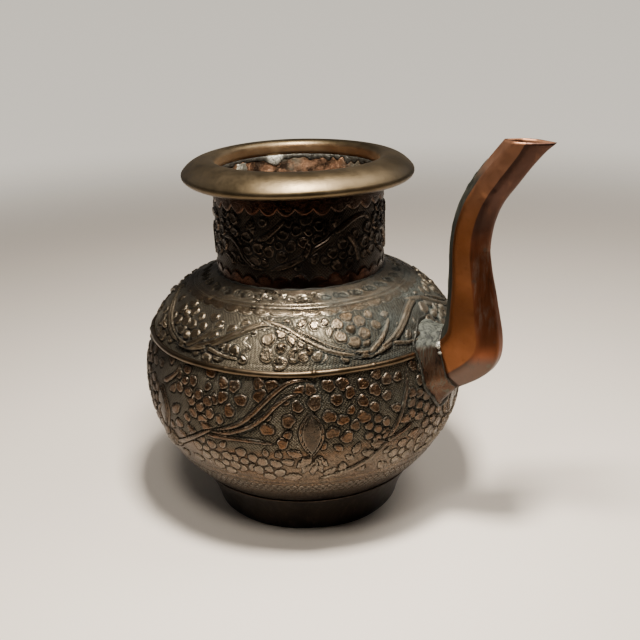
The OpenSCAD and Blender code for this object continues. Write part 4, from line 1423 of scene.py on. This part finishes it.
def make_girdle_wire():
    count = 900
    a = np.linspace(SOCKET_HALF_ANGLE, TAU - SOCKET_HALF_ANGLE, count)
    n = np.array([math.cos(GIRDLE_ANGLE), math.sin(GIRDLE_ANGLE)])
    along = np.array([-n[1], n[0]])
    size = WIRE_R * (1 + 0.05 * waves(91, 6, a, 0.0, 200, 12))
    slip = 0.22 * waves(92, 5, a, 0.0, 300, 50)
    knots = [(PATTERN_TURN - math.radians(87), 0.7, 0.55), (PATTERN_TURN - math.radians(66), 0.5, 0.3), (PATTERN_TURN - math.radians(118), 0.9, 0.25), (2.4, 0.8, 0.4), (3.9, 0.8, 0.4)]
    for at, wide, high in knots:
        gap = np.angle(np.exp(1j * (a - at))) * GIRDLE_R
        size = size + high * np.exp(-((gap / wide) ** 2))
    ring = np.arange(14) * TAU / 14
    out = 0.35 + size[:, None] * 0.78 * np.sin(ring)
    up = slip[:, None] + size[:, None] * 1.02 * np.cos(ring)
    r = GIRDLE_R + out * n[0] + up * along[0]
    z = GIRDLE_Z + out * n[1] + up * along[1]
    points = np.stack([r * np.cos(a)[:, None], r * np.sin(a)[:, None], z], 2)
    faces = shell_faces(count, 14, False).tolist()
    faces += [tuple(range(14)), tuple(reversed([(count - 1) * 14 + i for i in range(14)]))]
    obj = mesh_object("girdle_wire_run", points.reshape(-1, 3), faces)
    tidy = bmesh.new()
    tidy.from_mesh(obj.data)
    bmesh.ops.recalc_face_normals(tidy, faces=tidy.faces)
    tidy.to_mesh(obj.data)
    tidy.free()
    return obj


# ---- Solder inside the neck and round its foot ----
def ring_bead(name, r, z, size_r, size_z, columns, points=12):
    a = np.arange(columns) * TAU / columns
    ring = np.arange(points) * TAU / points
    rr = r[:, None] + size_r[:, None] * np.cos(ring)
    zz = z[:, None] + size_z[:, None] * np.sin(ring)
    verts = np.stack([rr * np.cos(a)[:, None], rr * np.sin(a)[:, None], zz], 2)
    faces = shell_faces(columns, points, True)[:, ::-1].tolist()
    return mesh_object(name, verts.reshape(-1, 3), faces)


def make_rim_solder():
    columns = 420
    ragged = closed_noise(93, columns, 14, 50)
    drips = np.maximum(closed_noise(94, columns, 10, 24) - 0.5, 0)
    a = np.arange(columns) * TAU / columns
    lump = np.exp(-((np.angle(np.exp(1j * (a - math.radians(143)))) / 0.09) ** 2))
    tall = 1.3 + 0.35 * ragged + 1.1 * drips + 2.2 * lump
    thick = 0.55 + 0.12 * ragged + 0.9 * lump
    tall = np.clip(tall, 0.6, 4.5)
    obj = ring_bead("rim_solder_run", np.full(columns, NECK_R - SHEET + 0.1), NECK_TOP_Z - 0.3 - tall, np.maximum(thick, 0.35), tall, columns)
    add_values(obj, "pale", np.repeat(np.clip(lump, 0, 1), 12))
    return obj


def make_neck_solder():
    columns = 420
    rough = closed_noise(95, columns, 12, 60)
    return ring_bead("neck_solder_run", np.full(columns, NECK_R + 0.35), COLLAR_Z + 0.05 + 0.1 * rough, 0.75 + 0.12 * rough, 0.6 + 0.12 * rough, columns)


SEAM_ANGLE = math.radians(172)


def make_neck_seam():
    """A ragged strip of solder up the inside of the neck."""
    rows, across = 90, 13
    z = np.linspace(COLLAR_Z - 2.8, NECK_TOP_Z - 2.4, rows)
    rng = np.random.default_rng(97)

    def ragged(seed):
        r = np.random.default_rng(seed)
        return sum(np.sin(r.uniform(0.1, 1.6) * z + r.uniform(0, TAU)) for _ in range(9)) / 3

    left = 3.0 + 0.8 * ragged(1) + 1.2 * smoothstep(z, 160, 172)
    right = 2.8 + 0.8 * ragged(2) + 1.0 * smoothstep(z, 158, 170)
    t = np.linspace(-1, 1, across)
    wide = np.where(t[None, :] < 0, t[None, :] * left[:, None], t[None, :] * right[:, None])
    thick = 0.75 * np.sqrt(np.clip(1 - t[None, :] ** 4, 0, 1)) * (1 + 0.25 * ragged(3)[:, None])
    thick = thick + 0.10 * rng.normal(size=thick.shape) * (1 - t[None, :] ** 2)
    a = SEAM_ANGLE + wide / (NECK_R - SHEET)
    r_front = NECK_R - SHEET - np.maximum(thick, 0.05)
    r_back = np.full_like(r_front, NECK_R - SHEET + 0.25)
    front = np.stack([r_front * np.cos(a), r_front * np.sin(a), np.repeat(z[:, None], across, 1)], 2)
    back = np.stack([r_back * np.cos(a), r_back * np.sin(a), np.repeat(z[:, None], across, 1)], 2)[:, ::-1]
    ring = np.concatenate([front, back], 1)
    n = across * 2
    faces = shell_faces(rows, n, False).tolist()
    faces += [tuple(range(n)), tuple(reversed([(rows - 1) * n + i for i in range(n)]))]
    obj = mesh_object("neck_seam_run", ring.reshape(-1, 3), faces)
    tidy = bmesh.new()
    tidy.from_mesh(obj.data)
    bmesh.ops.recalc_face_normals(tidy, faces=tidy.faces)
    tidy.to_mesh(obj.data)
    tidy.free()
    return obj


# ---- Plainer metals ----
def bronze_material():
    m, g, shader = material("rim_bronze")
    at = g.place()
    x, y, z = g.split(at)
    r = g.math("SQRT", g.add(g.mul(x, x), g.mul(y, y)))
    cloud = g.noise(at, 34.0, 4.0, 0.6)
    grain = g.noise(at, 300.0, 4.0, 0.65)
    scratch = g.noise(g.stretch(at, (1.0, 1.0, 9.0)), 420.0, 2.0, 0.6)
    colour = g.mix(g.ramp(cloud, 0.30, 0.72), (0.096, 0.070, 0.038), (0.152, 0.113, 0.066))
    colour = g.mix(g.mul(g.ramp(grain, 0.52, 0.78), 0.4), colour, (0.08, 0.056, 0.032))
    # The underside of the rim is darkened as painted shade
    under = g.ramp(z, (RIM_Z - 8.8) * MM, (RIM_Z - 10.3) * MM)
    colour = g.mix(g.mul(under, 0.7), colour, (0.06, 0.042, 0.028))
    throat = g.mul(g.ramp(r, (THROAT_R + 1.5) * MM, (THROAT_R + 0.4) * MM), g.ramp(z, (RIM_Z - 1.2) * MM, (RIM_Z - 3.6) * MM))
    copper = g.mix(g.ramp(cloud, 0.3, 0.7), (0.31, 0.18, 0.095), (0.48, 0.34, 0.20))
    colour = g.mix(throat, colour, copper)
    rough = g.add(g.blend(g.ramp(cloud, 0.3, 0.7), 0.37, 0.43), g.mul(g.add(grain, -0.5), 0.20))
    bump = g.add(g.mul(g.add(grain, -0.5), 0.09), g.mul(g.add(scratch, -0.5), 0.03))
    finish_shader(g, shader, colour, rough, 1.0, g.bump(bump))
    return m


def foot_material():
    m, g, shader = material("foot_black")
    at = g.place()
    z = g.split(at)[2]
    cloud = g.noise(at, 40.0, 4.0, 0.6)
    streak = g.noise(g.stretch(at, (1.0, 1.0, 0.12)), 420.0, 3.0, 0.6)
    grain = g.noise(at, 320.0, 4.0, 0.65)
    # Near-black foot colours: partly dark patina, partly painted shade for the shadowed floor it faces
    colour = g.mix(g.ramp(cloud, 0.3, 0.7), (0.015, 0.011, 0.009), (0.034, 0.024, 0.018))
    colour = g.mix(g.mul(g.ramp(streak, 0.5, 0.75), 0.5), colour, (0.07, 0.048, 0.036))
    # Darker towards the floor: painted contact shade
    colour = g.mix(g.mul(g.ramp(z, 5 * MM, 0.5 * MM), 0.5), colour, (0.012, 0.009, 0.008))
    rough = g.add(0.36, g.mul(g.add(grain, -0.5), 0.25))
    bump = g.add(g.mul(g.add(streak, -0.5), 0.08), g.mul(g.add(grain, -0.5), 0.05))
    finish_shader(g, shader, colour, rough, 0.9, g.bump(bump))
    return m


def spout_material():
    m, g, shader = material("spout_red_copper")
    at = g.place()
    x, y, z = g.split(at)
    facet = g.attribute("facet")
    cloud = g.noise(at, 40.0, 4.0, 0.6)
    run = g.noise(g.stretch(at, (1.0, 1.0, 0.12)), 400.0, 4.0, 0.6)
    grain = g.noise(at, 330.0, 4.0, 0.65)
    side = g.mix(g.ramp(cloud, 0.28, 0.74), (0.195, 0.068, 0.023), (0.265, 0.104, 0.042))
    side = g.mix(g.mul(g.ramp(grain, 0.52, 0.8), 0.4), side, (0.11, 0.040, 0.016))
    side = g.mix(g.mul(g.ramp(z, 160 * MM, 185 * MM), 0.5), side, (0.31, 0.165, 0.105))
    # The outer bevels and edge are darker, with grey streaks; the inner ones are grey-green
    outer = g.mul(g.ramp(facet, 2.5, 3.0), g.ramp(facet, 6.0, 5.5))
    inner = g.mul(g.add(g.ramp(facet, 1.6, 1.2), g.ramp(facet, 6.6, 7.0)), g.ramp(z, 198 * MM, 180 * MM, 0.2, 1.0))
    streaks = g.mul(g.mul(g.ramp(run, 0.46, 0.70), g.ramp(z, 108 * MM, 122 * MM)), g.ramp(z, 168 * MM, 140 * MM, 0.15, 1.0))
    dark = g.mix(g.mul(streaks, 0.75), (0.145, 0.046, 0.020), (0.22, 0.15, 0.11))
    dark = g.mix(g.mul(g.ramp(run, 0.46, 0.34, 0.0, 0.7), g.ramp(z, 168 * MM, 140 * MM, 0.3, 1.0)), dark, (0.040, 0.017, 0.010))
    green = g.mix(g.ramp(run, 0.35, 0.7), (0.009, 0.009, 0.006), (0.030, 0.030, 0.022))
    dark = g.mix(g.mul(g.ramp(z, 148 * MM, 164 * MM), 0.85), dark, (0.048, 0.030, 0.025))
    colour = g.mix(g.mul(outer, g.ramp(run, 0.20, 0.50, 0.80, 1.0)), side, dark)
    colour = g.mix(g.math("MINIMUM", inner, 1.0), colour, green)
    # A lighter orange patch on the outer edge at the knee: painted highlight
    knee_highlight = g.mul(g.ramp(z, 116 * MM, 108 * MM), g.ramp(z, 96 * MM, 104 * MM))
    colour = g.mix(g.mul(g.mul(knee_highlight, outer), 0.5), colour, (0.17, 0.060, 0.027))
    chin = g.mul(g.ramp(z, 103 * MM, 95 * MM), outer)
    colour = g.mix(g.mul(chin, 0.8), colour, (0.062, 0.052, 0.044))
    spots = g.ramp(g.cells(at, 150.0), 0.26, 0.12)
    spots = g.mul(spots, g.ramp(cloud, 0.52, 0.62))
    colour = g.mix(g.mul(spots, 0.6), colour, (0.075, 0.07, 0.055))
    rough = g.add(g.blend(inner, 0.44, 0.60), g.mul(g.add(grain, -0.5), 0.2))
    bump = g.add(g.mul(g.add(grain, -0.5), 0.06), g.mul(g.add(cloud, -0.5), 0.15))
    finish_shader(g, shader, colour, rough, g.ramp(inner, 0.0, 1.0, 1.0, 0.6), g.bump(bump))
    return m


def socket_material():
    m, g, shader = material("socket_copper")
    at = g.place()
    x, y, z = g.split(at)
    cloud = g.noise(at, 60.0, 4.0, 0.6)
    grain = g.noise(at, 300.0, 4.0, 0.65)
    fold = g.noise(g.stretch(at, (1.0, 1.0, 0.22)), 420.0, 3.0, 0.65, 1.2)
    red = g.mix(g.ramp(cloud, 0.3, 0.7), (0.036, 0.017, 0.010), (0.080, 0.042, 0.025))
    red = g.mix(g.mul(g.ramp(grain, 0.5, 0.8), 0.5), red, (0.025, 0.014, 0.009))
    green = g.mix(g.ramp(fold, 0.36, 0.66), (0.008, 0.011, 0.008), (0.075, 0.078, 0.060))
    green = g.mix(g.ramp(grain, 0.50, 0.72, 0.0, 0.6), green, (0.012, 0.014, 0.010))
    facing = g.split(g.node("ShaderNodeNewGeometry").outputs["Normal"])[2]
    high = g.ramp(g.add(z, g.mul(g.add(cloud, -0.5), 0.03)), 88 * MM, 98 * MM)
    top = g.mul(high, g.ramp(g.add(facing, g.mul(g.add(grain, -0.5), 0.5)), 0.15, 0.60, 0.25, 1.0))
    colour = g.mix(top, red, green)
    colour = g.mix(g.ramp(fold, 0.50, 0.66, 0.0, 0.75), colour, (0.060, 0.064, 0.050))
    colour = g.mix(g.ramp(fold, 0.45, 0.34, 0.0, 0.7), colour, (0.010, 0.009, 0.007))
    rough = g.add(g.blend(top, 0.46, 0.74), g.mul(g.add(grain, -0.5), 0.2))
    bump = g.add(g.mul(g.add(grain, -0.5), 0.16), g.mul(g.add(fold, -0.5), 0.8))
    finish_shader(g, shader, colour, rough, g.ramp(top, 0, 1, 0.95, 0.2), g.bump(bump))
    return m


def wire_material():
    m, g, shader = material("wire_copper")
    at = g.place()
    cloud = g.noise(at, 60.0, 4.0, 0.6)
    grain = g.noise(at, 330.0, 4.0, 0.65)
    colour = g.mix(g.ramp(cloud, 0.3, 0.7), (0.062, 0.042, 0.023), (0.115, 0.082, 0.050))
    colour = g.mix(g.mul(g.ramp(grain, 0.5, 0.75), 0.6), colour, (0.05, 0.035, 0.024))
    rough = g.add(0.36, g.mul(g.add(grain, -0.5), 0.2))
    finish_shader(g, shader, colour, rough, 1.0, g.bump(g.mul(g.add(grain, -0.5), 0.08)))
    return m


def solder_material(name, dark, mid, light, pale=False, rough=0.5, crackle=True):
    m, g, shader = material(name)
    at = g.place()
    cloud = g.noise(at, 120.0, 4.0, 0.65)
    grain = g.noise(at, 480.0, 3.0, 0.7)
    crack = g.ramp(g.cells(at, 420.0, "DISTANCE_TO_EDGE"), 0.0, 0.09)
    colour = g.mix(g.ramp(cloud, 0.32, 0.68), dark, mid)
    colour = g.mix(g.mul(g.ramp(grain, 0.5, 0.8), 0.6), colour, light)
    if pale:
        colour = g.mix(g.ramp(g.attribute("pale"), 0.08, 0.5), colour, g.mix(grain, (0.28, 0.27, 0.22), (0.48, 0.46, 0.40)))
    if crackle:
        colour = g.mix(g.ramp(crack, 0.0, 1.0, 0.6, 0.0), colour, dark)
    bump = g.add(g.mul(g.add(cloud, -0.5), 0.5), g.mul(g.add(grain, -0.5), 0.15))
    if crackle:
        bump = g.add(bump, g.mul(crack, 0.12))
    finish_shader(g, shader, colour, g.add(rough, g.mul(g.add(grain, -0.5), 0.25)), 0.55, g.bump(bump))
    return m


seam_solder = solder_material("solder_pale", (0.08, 0.075, 0.058), (0.24, 0.23, 0.18), (0.46, 0.44, 0.38))
dark_solder = solder_material("solder_dark", (0.014, 0.013, 0.009), (0.036, 0.034, 0.026), (0.085, 0.080, 0.064))
lumpy_solder = solder_material("solder_lumpy", (0.020, 0.018, 0.014), (0.050, 0.046, 0.036), (0.13, 0.12, 0.10), pale=True)
green_solder = solder_material("solder_green", (0.018, 0.020, 0.016), (0.050, 0.056, 0.045), (0.13, 0.14, 0.12), crackle=False)
bronze = bronze_material()
wire_copper = wire_material()

bowl = place_piece(make_bowl(), [bowl_copper], "dark_copper", "bowl")
shoulder = place_piece(make_shoulder(), [shoulder_copper], "dark_copper", "shoulder")
neck = place_piece(make_neck(), [neck_copper], "dark_copper", "neck")
place_piece(make_rim(), [bronze], "rim_bronze", "rim_ring")
place_piece(make_foot(), [foot_material()], "black_copper", "foot_ring")
place_piece(make_girdle_wire(), [wire_copper], "dark_copper", "girdle_wire")
place_piece(make_spout(), [spout_material()], "spout_copper", "spout")
place_piece(make_socket(), [socket_material()], "dark_copper", "spout_socket")
place_piece(make_socket_solder(), [dark_solder], "solder", "socket_solder")
place_piece(make_spout_solder(), [lumpy_solder], "solder", "spout_solder")
place_piece(make_spout_seam(), [green_solder], "solder", "spout_seam_solder")
place_piece(make_rim_solder(), [lumpy_solder], "solder", "rim_solder")
place_piece(make_neck_solder(), [dark_solder], "solder", "neck_solder")
place_piece(make_neck_seam(), [seam_solder], "solder", "neck_seam_solder")
for node in ("girdle_solder", "foot_solder"):
    kept = frame["nodes"][node]
    kept.data.materials.clear()
    kept.data.materials.append(dark_solder)
